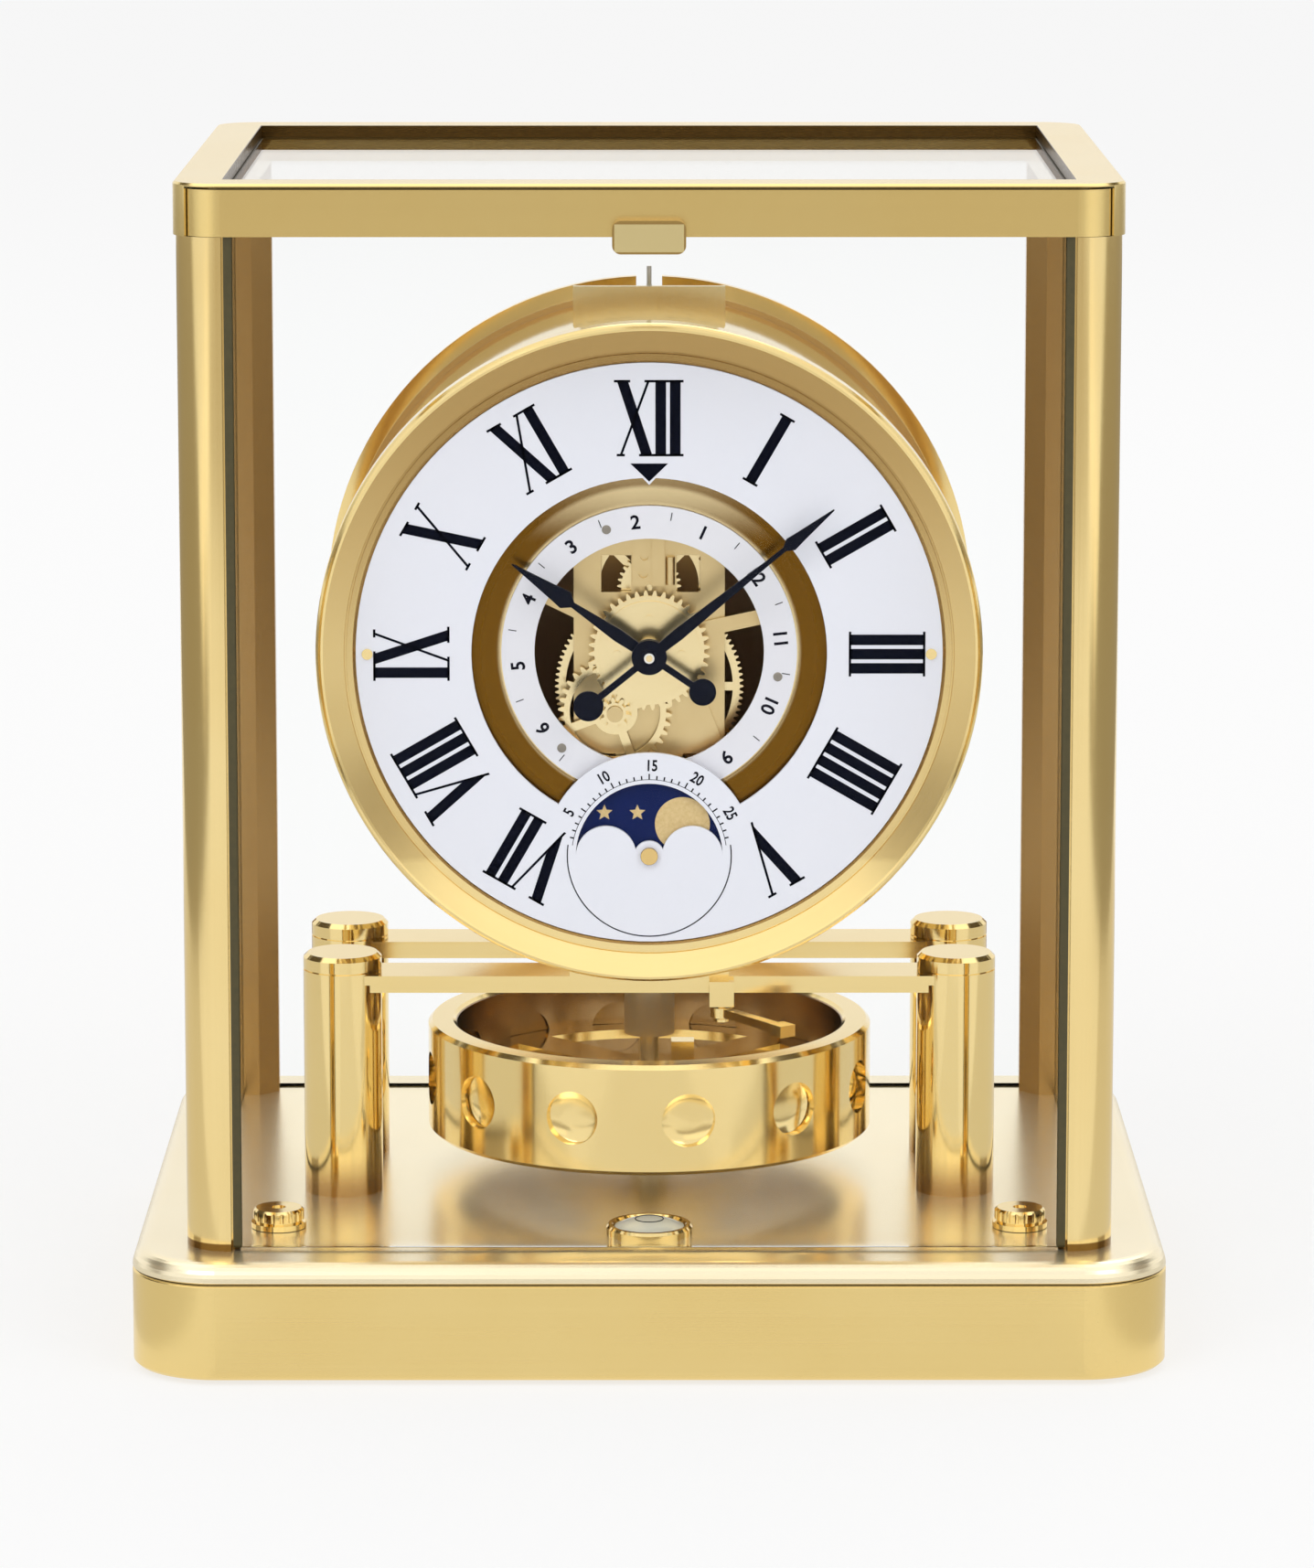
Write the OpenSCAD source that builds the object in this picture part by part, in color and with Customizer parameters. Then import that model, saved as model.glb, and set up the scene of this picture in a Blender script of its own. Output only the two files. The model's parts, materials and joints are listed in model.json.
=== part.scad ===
// Glazed desk clock with a torsion pendulum, a month ring and a moon phase display.
// Millimetres. X runs left to right, Y runs from the door to the back, Z runs up from the feet.

/* [Base] */
// width of the base
base_w = 190; // [184:1:200]
// depth of the base
base_d = 153; // [149:1:162]
// height of the top face of the base above the desk
base_top_z = 22.4; // [20.4:0.2:24.4]
// plan radius of the base corners
base_corner = 16; // [12:0.5:20]
// rounding of the top edge of the base
base_edge = 3.3; // [2:0.1:3.5]

/* [Cabinet] */
// height of the whole clock
total_h = 218.2; // [214:0.2:226]
// width over the posts
cabinet_w = 170; // [166:1:174]
// depth over the posts
cabinet_d = 133; // [130:1:138]
// face width of a corner post
post = 8.5; // [8:0.1:9.4]
// height of the top frame
frame_h = 9.6; // [8.6:0.2:10.6]
// thickness of the glass panes
glass_t = 2.8; // [2.4:0.1:3]

/* [Drum and dial] */
// height of the dial centre
dial_z = 128.9; // [127:0.1:131]
// radius of the white dial
dial_r = 54.1; // [53.4:0.1:54.3]
// radius of the opening in the dial
opening_r = 32.8; // [31.5:0.1:34]
// outer radius of the bezel
bezel_r = 61.5; // [61:0.1:62.4]
// outer radius of the rear flange of the drum
flange_r = 62.6; // [61.5:0.1:63.6]
// outer radius of the month ring
month_r = 27.3; // [26.9:0.1:28.3]
// distance of the moon axis below the dial centre
moon_drop = 37.9; // [37.6:0.1:38.2]
// radius of the moon opening
moon_r = 13.6; // [13:0.1:13.9]

/* [Hands] */
// length of the hour hand
hour_hand_len = 30.5; // [26:0.5:34]
// length of the minute hand
minute_hand_len = 43.6; // [40:0.5:48]
// minute shown at rest, counted clockwise in degrees from twelve
minute_angle = 51; // [0:1:360]
// hour shown at rest, counted clockwise in degrees from twelve
hour_angle = 304.25; // [0:0.25:360]

/* [Movement] */
// teeth of the great wheel
great_teeth = 96; // [96]
// width of the strip of plate seen through the dial
strip_w = 28; // [26:0.5:30]
// thickness of the movement plates
plate_t = 1.5; // [1.2:0.1:1.8]

/* [Balance and columns] */
// outer radius of the balance ring
ring_r = 42.5; // [39:0.5:44]
// radial thickness of the balance ring
ring_wall = 5.5; // [4:0.5:7]
// height of the balance ring
ring_h = 21; // [18:0.5:22]
// diameter of the holes in the balance ring
ring_hole = 10.1; // [7:0.1:12]
// number of holes in the balance ring
ring_holes = 12; // [10:1:14]
// radius of a column
column_r = 7.4; // [6:0.1:8]
// distance of each column from the middle, left and right
column_x = 58; // [57:0.5:62]
// distance of the front columns from the balance axis
column_y = 19.4; // [18:0.2:21]
// distance of the rear columns from the balance axis
rear_column_y = 11.4; // [11.2:0.2:20]

/* [Hidden] */
$fn = 96;
// fits and small gaps
run = 0.06;
rest_gap = 0.1;
air = 0.3;
// base levels
foot_h = 0.8;
top_plate_t = 3.7;
// cabinet
frame_z = total_h - frame_h;
half_w = cabinet_w / 2;
half_d = cabinet_d / 2;
ledge = 1.6;
post_round = post - 1;
door_y = -half_d + 0.2;
door_back = door_y + glass_t;
door_z = base_top_z + 0.4;
lip_t = 0.6;
header_gap = 0.4;
header_y = -half_d - 0.5;
header_t = door_back - header_y;
header_top = total_h - lip_t - header_gap;
header_z = frame_z + rest_gap;
frame_over = 0.5;
// drum levels along Y, front to back
bezel_back = -36;
dial_back = bezel_back - 3.7;
dial_t = 0.8;
plate_front = -33;
rear_plate_front = -14;
drum_back = 29;
barrel_r = 59;
bore_r = 57;
// months and moon
month_in = month_r - 6.1;
moon_disc_r = moon_r + 0.6;
moon_boss_r = 19.4;
// arbors of the train, left to right and up from the dial centre
idler_z = 11.24;
great_z = -8.2;
escape_z = idler_z + 13.5;
pallet_z = escape_z + 9.76;
minute_wheel_x = -6.35;
minute_wheel_z = -11.9;
motion_gap = norm([minute_wheel_x, minute_wheel_z]);
// gear sizes from the distances between their arbors
idler_teeth = 12;
escape_teeth = 15;
third_teeth = 60;
pair_teeth = 30;
cannon_teeth = 12;
minute_teeth = 36;
minute_pinion_teeth = 10;
hour_teeth = 40;
great_m = 2 * (idler_z - great_z) / (great_teeth + idler_teeth);
third_m = 2 * 13.5 / (third_teeth + escape_teeth);
pair_m = 2 * idler_z / (2 * pair_teeth);
cannon_m = 2 * motion_gap / (cannon_teeth + minute_teeth);
hour_m = 2 * motion_gap / (minute_pinion_teeth + hour_teeth);
escape_r = 6.5;
// hands
minute_y = -44;
hour_y = -42.6;
hand_t = 0.6;
// balance and suspension
ring_z = base_top_z + 8.1;
ring_in = ring_r - ring_wall;
web_z = ring_z + 9.3;
web_t = 1.8;
spindle_r = 1.85;
tube_r = 4.85;
tube_bore = 2.6;
tube_z = ring_z + 17.9;
tube_top = dial_z + 20;
roller_z = dial_z + 23;
block_top = dial_z + barrel_r + 3.6;
plug_z = dial_z + bore_r - 4;
// columns and beams
column_top = base_top_z + 43.1;
beam_top = base_top_z + 42.5;
beam_d = 12;
column_ys = [-column_y, rear_column_y];
// feet and levelling screws
screw_x = 68.8;
screw_y = -48;
screw_r = 2;
stem_r = 3.4;

brass = [0.80, 0.66, 0.38];
brass_light = [0.90, 0.80, 0.55];
steel = [0.62, 0.62, 0.64];
glass = [0.85, 0.92, 0.92, 0.25];
enamel = [0.92, 0.93, 0.96];
night = [0.05, 0.12, 0.32];
ink = [0.05, 0.06, 0.12];
gold = [0.82, 0.66, 0.32];

// Helpers

function arc_points(c, r, a0, a1, n) =
    [for (i = [0:n]) [c[0] + r * cos(a0 + (a1 - a0) * i / n), c[1] + r * sin(a0 + (a1 - a0) * i / n)]];

// A flat piece that faces the door: y is its back face, h its thickness.
module facing(y, h) {
    translate([0, y, dial_z]) rotate([90, 0, 0]) linear_extrude(height = h) children();
}

// A turned piece round the dial axis: y is the level its profile counts from, towards the door.
module turned(y) {
    translate([0, y, dial_z]) rotate([90, 0, 0]) rotate_extrude() children();
}

// A pin along the depth at x, z from the dial centre, from y0 back to y1.
module pin_y(x, z, r, y0, y1) {
    translate([x, y1, dial_z + z]) rotate([90, 0, 0]) cylinder(r = r, h = y1 - y0);
}

module ring_2d(ro, ri) {
    difference() {
        circle(r = ro);
        circle(r = ri);
    }
}

// The section of a slab from side to side, from a list of [inset, height].
function across(half, edge) =
    let(n = len(edge))
    concat([for (p = edge) [half - p[0], p[1]]], [for (i = [n - 1:-1:0]) [edge[i][0] - half, edge[i][1]]]);

// A slab with rounded corners. The edge is a list of [inset, height] from bottom to top.
module slab(w, d, r, edge) {
    n = len(edge);
    turn = concat([[0, edge[0][1]]], [for (p = edge) [r - p[0], p[1]]], [[0, edge[n - 1][1]]]);
    rotate([90, 0, 0]) linear_extrude(height = d - 2 * r, center = true) polygon(across(w / 2, edge));
    rotate([90, 0, 90]) linear_extrude(height = w - 2 * r, center = true) polygon(across(d / 2, edge));
    for (sx = [-1, 1], sy = [-1, 1])
        translate([sx * (w / 2 - r), sy * (d / 2 - r), 0]) rotate_extrude() polygon(turn);
}

// Gear outlines

pressure = 20;
function inv_deg(a) = tan(a) * 180 / PI - a;
// half the angle of a tooth at radius q, for a thin tooth that runs free
function half_tooth(q, rp, rb, thick) =
    (thick / 2) / rp * 180 / PI + inv_deg(pressure) - (q > rb ? inv_deg(acos(rb / q)) : 0);
function tooth_points(a, rp, rb, r0, r1, thick) =
    concat(
        [for (i = [0:2]) let(q = r0 + (r1 - r0) * i / 2) polar(q, a - half_tooth(q, rp, rb, thick))],
        [for (i = [2:-1:0]) let(q = r0 + (r1 - r0) * i / 2) polar(q, a + half_tooth(q, rp, rb, thick))]);
function polar(r, a) = [r * cos(a), r * sin(a)];

// A gear outline with one tooth centred on the angle given.
module gear_2d(teeth, m, angle, add = 0.8, ded = 1.1) {
    rp = teeth * m / 2;
    rb = rp * cos(pressure);
    thick = 0.4 * PI * m;
    r0 = rp - ded * m;
    r1 = rp + add * m;
    polygon([for (k = [0:teeth - 1]) each tooth_points(angle + k * 360 / teeth, rp, rb, r0, r1, thick)]);
}

// Arms of a wheel as a ring with windows cut out between the arms.
module crossings_2d(ro, ri, arms, arm_w, angle = 0) {
    difference() {
        ring_2d(ro, ri);
        for (k = [0:arms - 1])
            rotate(angle + k * 360 / arms) translate([0, -arm_w / 2]) square([ro + 1, arm_w]);
    }
}

// Angle from one arbor to another, in the plane of the dial.
function heading(x0, z0, x1, z1) = atan2(z1 - z0, x1 - x0);
// Angle of a tooth on the second gear of a pair so that a gap faces the first.
function meshed(toward, teeth) = toward + 180 / teeth;

// Base and feet

module base_plinth() {
    z1 = base_top_z - top_plate_t;
    edge = [[0.6, foot_h], [0, foot_h + 0.6], [0, z1 - 0.5], [0.35, z1 - 0.2], [0.35, z1]];
    color(brass)
    difference() {
        slab(base_w, base_d, base_corner, edge);
        for (s = [-1, 1])
            translate([s * screw_x, screw_y, 0]) {
                cylinder(r = 6.4, h = 4.2);
                cylinder(r = stem_r + run, h = 14.4);
                cylinder(r = screw_r + run, h = base_top_z);
            }
    }
}

module base_top() {
    z0 = base_top_z - top_plate_t;
    edge = [for (p = arc_points([base_edge, base_top_z - base_edge], base_edge, 180, 90, 7)) p];
    color(brass_light)
    difference() {
        slab(base_w, base_d, base_corner, concat([[0.35, z0], [0, z0 + 0.3]], edge));
        for (s = [-1, 1])
            translate([s * screw_x, screw_y, z0 - 1]) cylinder(r = screw_r + run, h = top_plate_t + 2);
    }
    color(brass) spindle_guide();
}

module front_foot(s) {
    color(steel)
    translate([s * screw_x, screw_y, 0])
    difference() {
        union() {
            cylinder(r1 = 5.6, r2 = 6, h = 0.4);
            translate([0, 0, 0.4]) cylinder(r = 6, h = 1.8);
            translate([0, 0, 2.2]) cylinder(r = stem_r, h = 9.8);
        }
        translate([0, 0, 1.6]) cylinder(r = screw_r + run, h = 12);
    }
}

module foot_front_left() {
    front_foot(-1);
}

module foot_front_right() {
    front_foot(1);
}

module foot_rear() {
    color(steel) translate([0, base_d / 2 - 18, 0]) cylinder(r = 7, h = foot_h);
}

// Levelling screw: a grooved head on a flange, its shank runs down inside the hollow stem of the foot.
module levelling_screw(s) {
    color(brass_light)
    translate([s * screw_x, screw_y, 0])
    difference() {
        union() {
            translate([0, 0, base_top_z + rest_gap]) cylinder(r = 5.1, h = 1);
            translate([0, 0, base_top_z + rest_gap + 1]) cylinder(r = 4.2, h = 0.5);
            translate([0, 0, base_top_z + rest_gap + 1.5]) cylinder(r = 4.7, h = 1.6);
            translate([0, 0, base_top_z + rest_gap + 3.1]) cylinder(r1 = 4.7, r2 = 4.2, h = 0.5);
            translate([0, 0, 4.4]) cylinder(r = screw_r, h = base_top_z - 2.4);
        }
        translate([0, 0, base_top_z + 3.4]) cylinder(r = 1.3, h = 4);
        for (k = [0:17])
            rotate(k * 20) translate([4.95, 0, base_top_z + 1.5]) cylinder(r = 0.45, h = 3);
    }
}

module levelling_left() {
    levelling_screw(-1);
}

module levelling_right() {
    levelling_screw(1);
}

level_y = -52;
module level_housing() {
    color(brass_light)
    translate([0, level_y, base_top_z])
    rotate_extrude() polygon([
        [0, 0], [8, 0], [8, 1.1], [7.6, 1.6], [6.9, 1.6], [6.5, 1.2], [6.5, 0.5], [0, 0.5]]);
}

module level_vial() {
    dome = 14;
    color(glass)
    translate([0, level_y, base_top_z + 0.5])
    intersection() {
        cylinder(r = 6.4, h = 3);
        translate([0, 0, 2.2 - dome]) sphere(r = dome);
    }
}

module spindle_guide() {
    r = spindle_r + air;
    translate([0, 0, base_top_z])
    rotate_extrude() polygon([
        [0, 0], [5, 0], [5, 0.6], [3.6, 1], [3.6, 2.8], [r, 2.8], [r, 0.6], [0, 0.6]]);
}

// Cabinet

// Corner post, drawn for the front right corner and mirrored to the others.
module corner_post(sx, sy) {
    x0 = half_w - post;
    y0 = half_d - post;
    pane = door_back + half_d + rest_gap;
    tall = frame_z - base_top_z;
    color(brass)
    scale([sx, sy, 1])
    translate([0, 0, base_top_z])
    union() {
        intersection() {
            translate([half_w - post_round, -half_d + post_round, 0]) cylinder(r = post_round, h = tall);
            translate([half_w - post_round, -half_d, 0]) cube([post_round, post_round, tall]);
        }
        linear_extrude(height = tall)
        polygon([
            [x0, -half_d], [half_w - post_round, -half_d], [half_w - post_round, -half_d + post_round],
            [half_w, -half_d + post_round], [half_w, -y0], [half_w - pane - 0.1, -y0],
            [half_w - pane - 0.1, -y0 + ledge], [x0 + 2.2, -y0 + ledge], [x0 - ledge, -y0 - 2.2],
            [x0 - ledge, -half_d + pane], [x0, -half_d + pane]]);
    }
}

module post_front_left() {
    corner_post(-1, 1);
}

module post_front_right() {
    corner_post(1, 1);
}

module post_rear_left() {
    corner_post(-1, -1);
}

module post_rear_right() {
    corner_post(1, -1);
}

// The header of the door follows the front of the top frame and wraps a little round its corners.
header_x = half_w - post;
header_r = half_w + frame_over - 0.6 - header_x;
module header_2d(grow) {
    y0 = header_y + header_r;
    translate([-header_x, header_y - grow * 5]) square([2 * header_x, header_t + grow * 5.3]);
    for (s = [-1, 1])
        translate([s * header_x, y0])
        intersection() {
            ring_2d(header_r + grow * 5, header_r - header_t - grow * 0.3);
            polygon([[0, 0], [0, -40], [s * 40 * (1 + grow * 0.06), -40]]);
        }
}

module top_frame() {
    w = cabinet_w + 2 * frame_over;
    d = cabinet_d + 2 * frame_over;
    color(brass)
    difference() {
        slab(w, d, 8, [[0, frame_z], [0, total_h - 0.4], [0.4, total_h]]);
        translate([-w / 2 + 9, -d / 2 + 9, total_h - 5.4]) cube([w - 18, d - 18, 20]);
        translate([-w / 2 + 11, -d / 2 + 11, frame_z - 1]) cube([w - 22, d - 22, 30]);
        translate([0, 0, frame_z - 1]) linear_extrude(height = header_top + header_gap - frame_z + 1) header_2d(1);
    }
}

module top_glass() {
    w = cabinet_w + 2 * frame_over - 18;
    d = cabinet_d + 2 * frame_over - 18;
    color(glass)
    translate([-w / 2 + 0.1, -d / 2 + 0.1, total_h - 5.4]) cube([w - 0.2, d - 0.2, glass_t + 0.2]);
}

module side_glass(s) {
    pane = door_back + half_d + rest_gap;
    y0 = half_d - post;
    x0 = half_w - pane - 0.1;
    color(glass)
    translate([s > 0 ? x0 : -x0 - glass_t, -y0, base_top_z]) cube([glass_t, 2 * y0, frame_z - base_top_z]);
}

module glass_left() {
    side_glass(-1);
}

module glass_right() {
    side_glass(1);
}

module glass_rear() {
    x0 = half_w - post;
    y0 = half_d - 0.2 - glass_t - rest_gap;
    color(glass)
    translate([-x0, y0, base_top_z]) cube([2 * x0, glass_t, frame_z - base_top_z]);
}

// Door

module door_glass() {
    x0 = half_w - post - 0.4;
    r = glass_t / 2;
    top = header_top - 1;
    color(glass)
    union() {
        translate([-x0, door_y, door_z + r]) cube([2 * x0, glass_t, top - door_z - r]);
        translate([-x0, door_y + r, door_z + r]) rotate([0, 90, 0]) cylinder(r = r, h = 2 * x0);
    }
}

module door_header() {
    door_pad();
    color(brass)
    difference() {
        translate([0, 0, header_z]) linear_extrude(height = header_top - header_z) header_2d(0);
        translate([-header_x, door_y, frame_z - 1]) cube([2 * header_x, 30, header_top - frame_z]);
    }
}

tab_z0 = frame_z - 2.7;
module door_tab() {
    color(brass_light)
    translate([0, header_y, tab_z0])
    rotate([90, 0, 0])
    union() {
        translate([-5, 0, 0]) cube([10, 6, 3]);
        translate([-6.6, 1.6, 0]) cube([13.2, 2.8, 3]);
        for (s = [-1, 1], z = [1.6, 4.4])
            translate([s * 5, z, 0]) cylinder(r = 1.6, h = 3);
    }
}

module door_pad() {
    color(steel)
    translate([-5, header_y, tab_z0 + 0.4]) cube([10, door_y - header_y, header_z - tab_z0 + 0.6]);
}

// Columns and beams

module column(x, y) {
    color(brass_light)
    translate([x, y, base_top_z]) {
        cylinder(r = column_r, h = column_top - base_top_z - 0.3);
        translate([0, 0, column_top - base_top_z - 0.3]) cylinder(r = column_r - 0.5, h = 0.3);
    }
}

module columns() {
    for (s = [-1, 1], y = column_ys)
        column(s * column_x, y);
}

module column_caps() {
    color(brass_light)
    for (s = [-1, 1], y = column_ys)
        translate([s * column_x, y, column_top])
        rotate_extrude() polygon([[0, 0], [column_r, 0], [column_r, 2.1], [column_r - 0.8, 2.9], [0, 2.9]]);
}

module beam(y) {
    half = column_x - sqrt(column_r * column_r - beam_d * beam_d / 4) + 1;
    color(brass)
    difference() {
        union() {
            translate([-half, y - beam_d / 2, beam_top - 1.8]) cube([2 * half, beam_d, 1.8]);
            translate([-half, y - beam_d / 2 + 0.9, beam_top - 3.4]) cube([2 * half, beam_d - 1.8, 1.6]);
        }
        for (sx = [-1, 1])
            translate([sx * column_x, y, 0]) cylinder(r = column_r, h = 100);
    }
}

module beam_front() {
    beam(column_ys[0]);
    lever_bracket();
}

module beam_rear() {
    beam(column_ys[1]);
}

module saddle(y) {
    color(brass)
    difference() {
        translate([-15, y - beam_d / 2, beam_top]) cube([30, beam_d, 9]);
        translate([0, 60, dial_z]) rotate([90, 0, 0]) cylinder(r = barrel_r, h = 120, $fn = 360);
    }
}

module drum_saddles() {
    for (y = column_ys)
        saddle(y);
}

// Locking lever under the front beam

lever_x = 13.6;
lever_y = -column_y - beam_d / 2 - 1.6;
lever_z = beam_top - 7.4;
module lever_bracket() {
    color(brass_light)
    union() {
        translate([lever_x - 2.3, lever_y + 1.6 - 3.4, beam_top - 5.2]) cube([4.6, 6.2, 1.8]);
        translate([lever_x - 2.3, lever_y - 1.8, beam_top - 5.2]) cube([4.6, 3.4, 4.8]);
        translate([lever_x, lever_y, lever_z - 0.4]) cylinder(r = 0.9, h = 3);
        translate([lever_x, lever_y, lever_z - 0.8]) cylinder(r = 1.5, h = 0.5);
    }
}

module lock_lever() {
    len = 20;
    color(brass_light)
    translate([lever_x, lever_y, lever_z])
    difference() {
        union() {
            cylinder(r = 2.1, h = 1.9);
            rotate(-54) {
                translate([0, -1, 0.2]) cube([len - 1, 2, 1.6]);
                translate([len - 3, -1.7, -0.2]) cube([3.6, 3.4, 2.2]);
            }
        }
        translate([0, 0, -1]) cylinder(r = 0.9 + run, h = 4);
    }
}

// Balance and suspension

module balance_ring() {
    c = 0.8;
    color(brass)
    difference() {
        translate([0, 0, ring_z])
        rotate_extrude() polygon([
            [ring_in, c], [ring_in + c, 0], [ring_r - c, 0], [ring_r, c],
            [ring_r, ring_h - c], [ring_r - c, ring_h], [ring_in + c, ring_h], [ring_in, ring_h - c]]);
        for (k = [0:ring_holes - 1])
            rotate(-80 + k * 360 / ring_holes)
            translate([ring_in - 3, 0, ring_z + ring_h / 2])
            rotate([0, 90, 0]) cylinder(d = ring_hole, h = ring_wall + 8);
    }
}

module balance_web() {
    color(brass)
    translate([0, 0, web_z])
    difference() {
        union() {
            linear_extrude(height = web_t)
            difference() {
                circle(r = ring_in);
                circle(r = spindle_r);
                crossings_2d(ring_in - 5, 11, 4, 9, 45);
            }
            translate([0, 0, -5.8]) cylinder(r = 6, h = 5.8);
            translate([4.2, -3.4, web_t]) cube([4.4, 4, 5.6]);
        }
        translate([0, 0, -10]) cylinder(r = spindle_r, h = 20);
    }
}

// The roller on top of the spindle carries the pin that the fork drives.
module balance_spindle() {
    color(steel)
    union() {
        translate([0, 0, roller_z]) cylinder(r = 3.4, h = 1.4);
        translate([0, 0, roller_z + 0.7]) rotate([90, 0, 0]) cylinder(r = 0.5, h = 10);
        translate([0, 0, base_top_z + 1.6]) cylinder(r1 = 1.2, r2 = spindle_r, h = 1);
        translate([0, 0, base_top_z + 2.6]) cylinder(r = spindle_r, h = roller_z - base_top_z - 2.6);
    }
}

module torsion_wire() {
    color(steel) translate([0, 0, roller_z + 1.4]) cylinder(r = 0.3, h = plug_z - roller_z - 1.4);
}

module suspension_tube() {
    color(brass_light)
    difference() {
        union() {
            translate([0, 0, tube_z]) cylinder(r = tube_r, h = tube_top - tube_z);
            translate([0, 0, tube_z - 0.01]) cylinder(r = tube_r - 0.4, h = 1);
            translate([0, 0, dial_z - bore_r + 1.2]) cylinder(r = 8, h = 2);
        }
        translate([0, 0, tube_z - 1]) cylinder(r = tube_bore, h = 200);
    }
}

module head_block() {
    color(brass)
    union() {
        difference() {
            translate([-14.3, -9, block_top - 6.2]) cube([28.6, 18, 6.2]);
            translate([0, -20, dial_z]) rotate([-90, 0, 0]) cylinder(r = barrel_r, h = 40);
        }
        translate([-14.3, -9, block_top - 0.5]) cube([28.6, 1.6, 2.6]);
        translate([0, 0, plug_z]) cylinder(r = 2.5, h = block_top - plug_z - 0.6);
    }
}

module regulator_index() {
    color(brass_light)
    translate([0, 0, block_top + rest_gap])
    union() {
        cylinder(r = 2.6, h = 0.9);
        translate([-0.55, 0, 0.2]) cube([1.1, 7, 0.6]);
        translate([0, 0, 0.9]) cylinder(r = 0.45, h = 4);
    }
}

// Drum, bezel and dial

module drum_case() {
    color(brass)
    difference() {
        union() {
            pin_y(0, 0, barrel_r, bezel_back, drum_back);
            pin_y(0, 0, flange_r, drum_back, drum_back + 2.5);
            pin_y(0, 0, barrel_r + 1, bezel_back + 1.2, bezel_back + 3.2);
            pin_y(0, 0, barrel_r + 1, drum_back - 2.6, drum_back);
        }
        pin_y(0, 0, bore_r, bezel_back - 1, drum_back + 5);
        translate([0, 0, dial_z - 70]) cylinder(r = tube_r + 0.02, h = 30);
        translate([0, 0, dial_z + 40]) cylinder(r = 2.6, h = 40);
        translate([-2.5, drum_back - 1, dial_z + flange_r - 3]) cube([5, 6, 6]);
    }
}

module drum_cover() {
    color(brass_light)
    turned(drum_back + 2.2)
    polygon([
        [0, 0], [30, 0], [30.6, 0.6], [32, 0.6], [32.6, 0],
        [bore_r - 1, 0], [bore_r, 0.6], [bore_r, 2.2], [0, 2.2]]);
    color(steel)
    for (a = [90, 210, 330])
        pin_y(51 * cos(a), 51 * sin(a), 1.7, drum_back + 2.2, drum_back + 2.8);
}

// The capsule swells and shrinks with the temperature: a folded wall and a moving head.
bellows_front = 13.6;
fold_out = [[46, 0.3], [44, 0.5], [44, 0.7], [46, 0.9]];
fold_in = [[45, 0.85], [43, 0.65], [43, 0.55], [45, 0.35]];
module bellows_case() {
    n = 5;
    l = 1.9;
    color(brass)
    turned(drum_back)
    polygon(concat(
        [[0, 0], [46, 0]],
        [for (k = [0:n - 1], p = fold_out) [p[0], l * (k + p[1])]],
        [[46, n * l], [45, n * l]],
        [for (k = [n - 1:-1:0], p = fold_in) [p[0], l * (k + p[1])]],
        [[45, 0.5], [0, 0.5]]));
}

module bellows_head() {
    color(brass_light)
    translate([0, bellows_front, dial_z])
    rotate([-90, 0, 0])
    rotate_extrude() polygon([
        [0, 0], [9, 0], [10, 0.8], [30, 0.8], [31, 0], [42, 0], [42.4, 0.4], [42.4, 9],
        [41.4, 9], [41.4, 1.2], [31.5, 1.2], [30.5, 2], [9.5, 2], [8.5, 1.2], [0, 1.2]]);
}

module bezel() {
    r = bezel_r;
    q = dial_r;
    color(brass_light)
    difference() {
        turned(bezel_back)
        polygon([
            [bore_r, 0], [r - 0.3, 0], [r, 0.3], [r, 5.1], [r - 0.15, 5.55], [r - 0.5, 5.85], [r - 0.95, 6],
            [r - 1.3, 5.9], [q + 2.2, 4.9], [q + 2.1, 4.4], [q + 1.8, 4.4], [q + 1.7, 4.8], [q + 0.5, 4.8],
            [q + 0.2, 4.5], [q + 0.2, 3.7], [50.4, 3.7], [50.4, 2.9], [bore_r, 2.9]]);
        pin_y(0, -moon_drop, moon_disc_r + air, dial_back - 0.1, dial_back + 2);
    }
}

// The dial with its round opening, the round boss of the moon display and the shaped moon opening.
module dial_2d() {
    difference() {
        union() {
            difference() {
                circle(r = dial_r);
                circle(r = opening_r);
            }
            intersection() {
                circle(r = dial_r);
                translate([0, -moon_drop]) circle(r = moon_boss_r);
            }
            polygon([[-1.6, opening_r + 0.4], [0, opening_r - 1.3], [1.6, opening_r + 0.4]]);
        }
        translate([0, -moon_drop])
        difference() {
            intersection() {
                circle(r = moon_r);
                translate([-20, 0]) square([40, 20]);
            }
            for (s = [-1, 1])
                translate([s * (moon_r - 5.6), 0]) circle(r = 5.6);
            circle(r = 2.8);
        }
        translate([0, -moon_drop]) circle(r = 0.8 + run);
        for (s = [-1, 1])
            translate([s * 52, 0]) circle(r = 0.5);
    }
}

module dial_plate() {
    color(enamel) facing(dial_back, dial_t) dial_2d();
}

module dial_screws() {
    color(gold)
    for (s = [-1, 1]) {
        pin_y(s * 52, 0, 0.5, dial_back - dial_t, dial_back);
        pin_y(s * 52, 0, 1, dial_back - dial_t - 0.3, dial_back - dial_t);
    }
}

module month_seat() {
    color(brass)
    turned(bezel_back - 0.2)
    polygon([
        [month_r - 1.6, 0], [bore_r - 0.1, 0], [bore_r - 0.1, 2],
        [month_r + 0.5, 2], [month_r + 0.5, 1.1], [month_r - 1.6, 1.1]]);
}

module month_ring() {
    color(enamel) facing(bezel_back - 1.5, 0.8) ring_2d(month_r, month_in);
}

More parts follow.
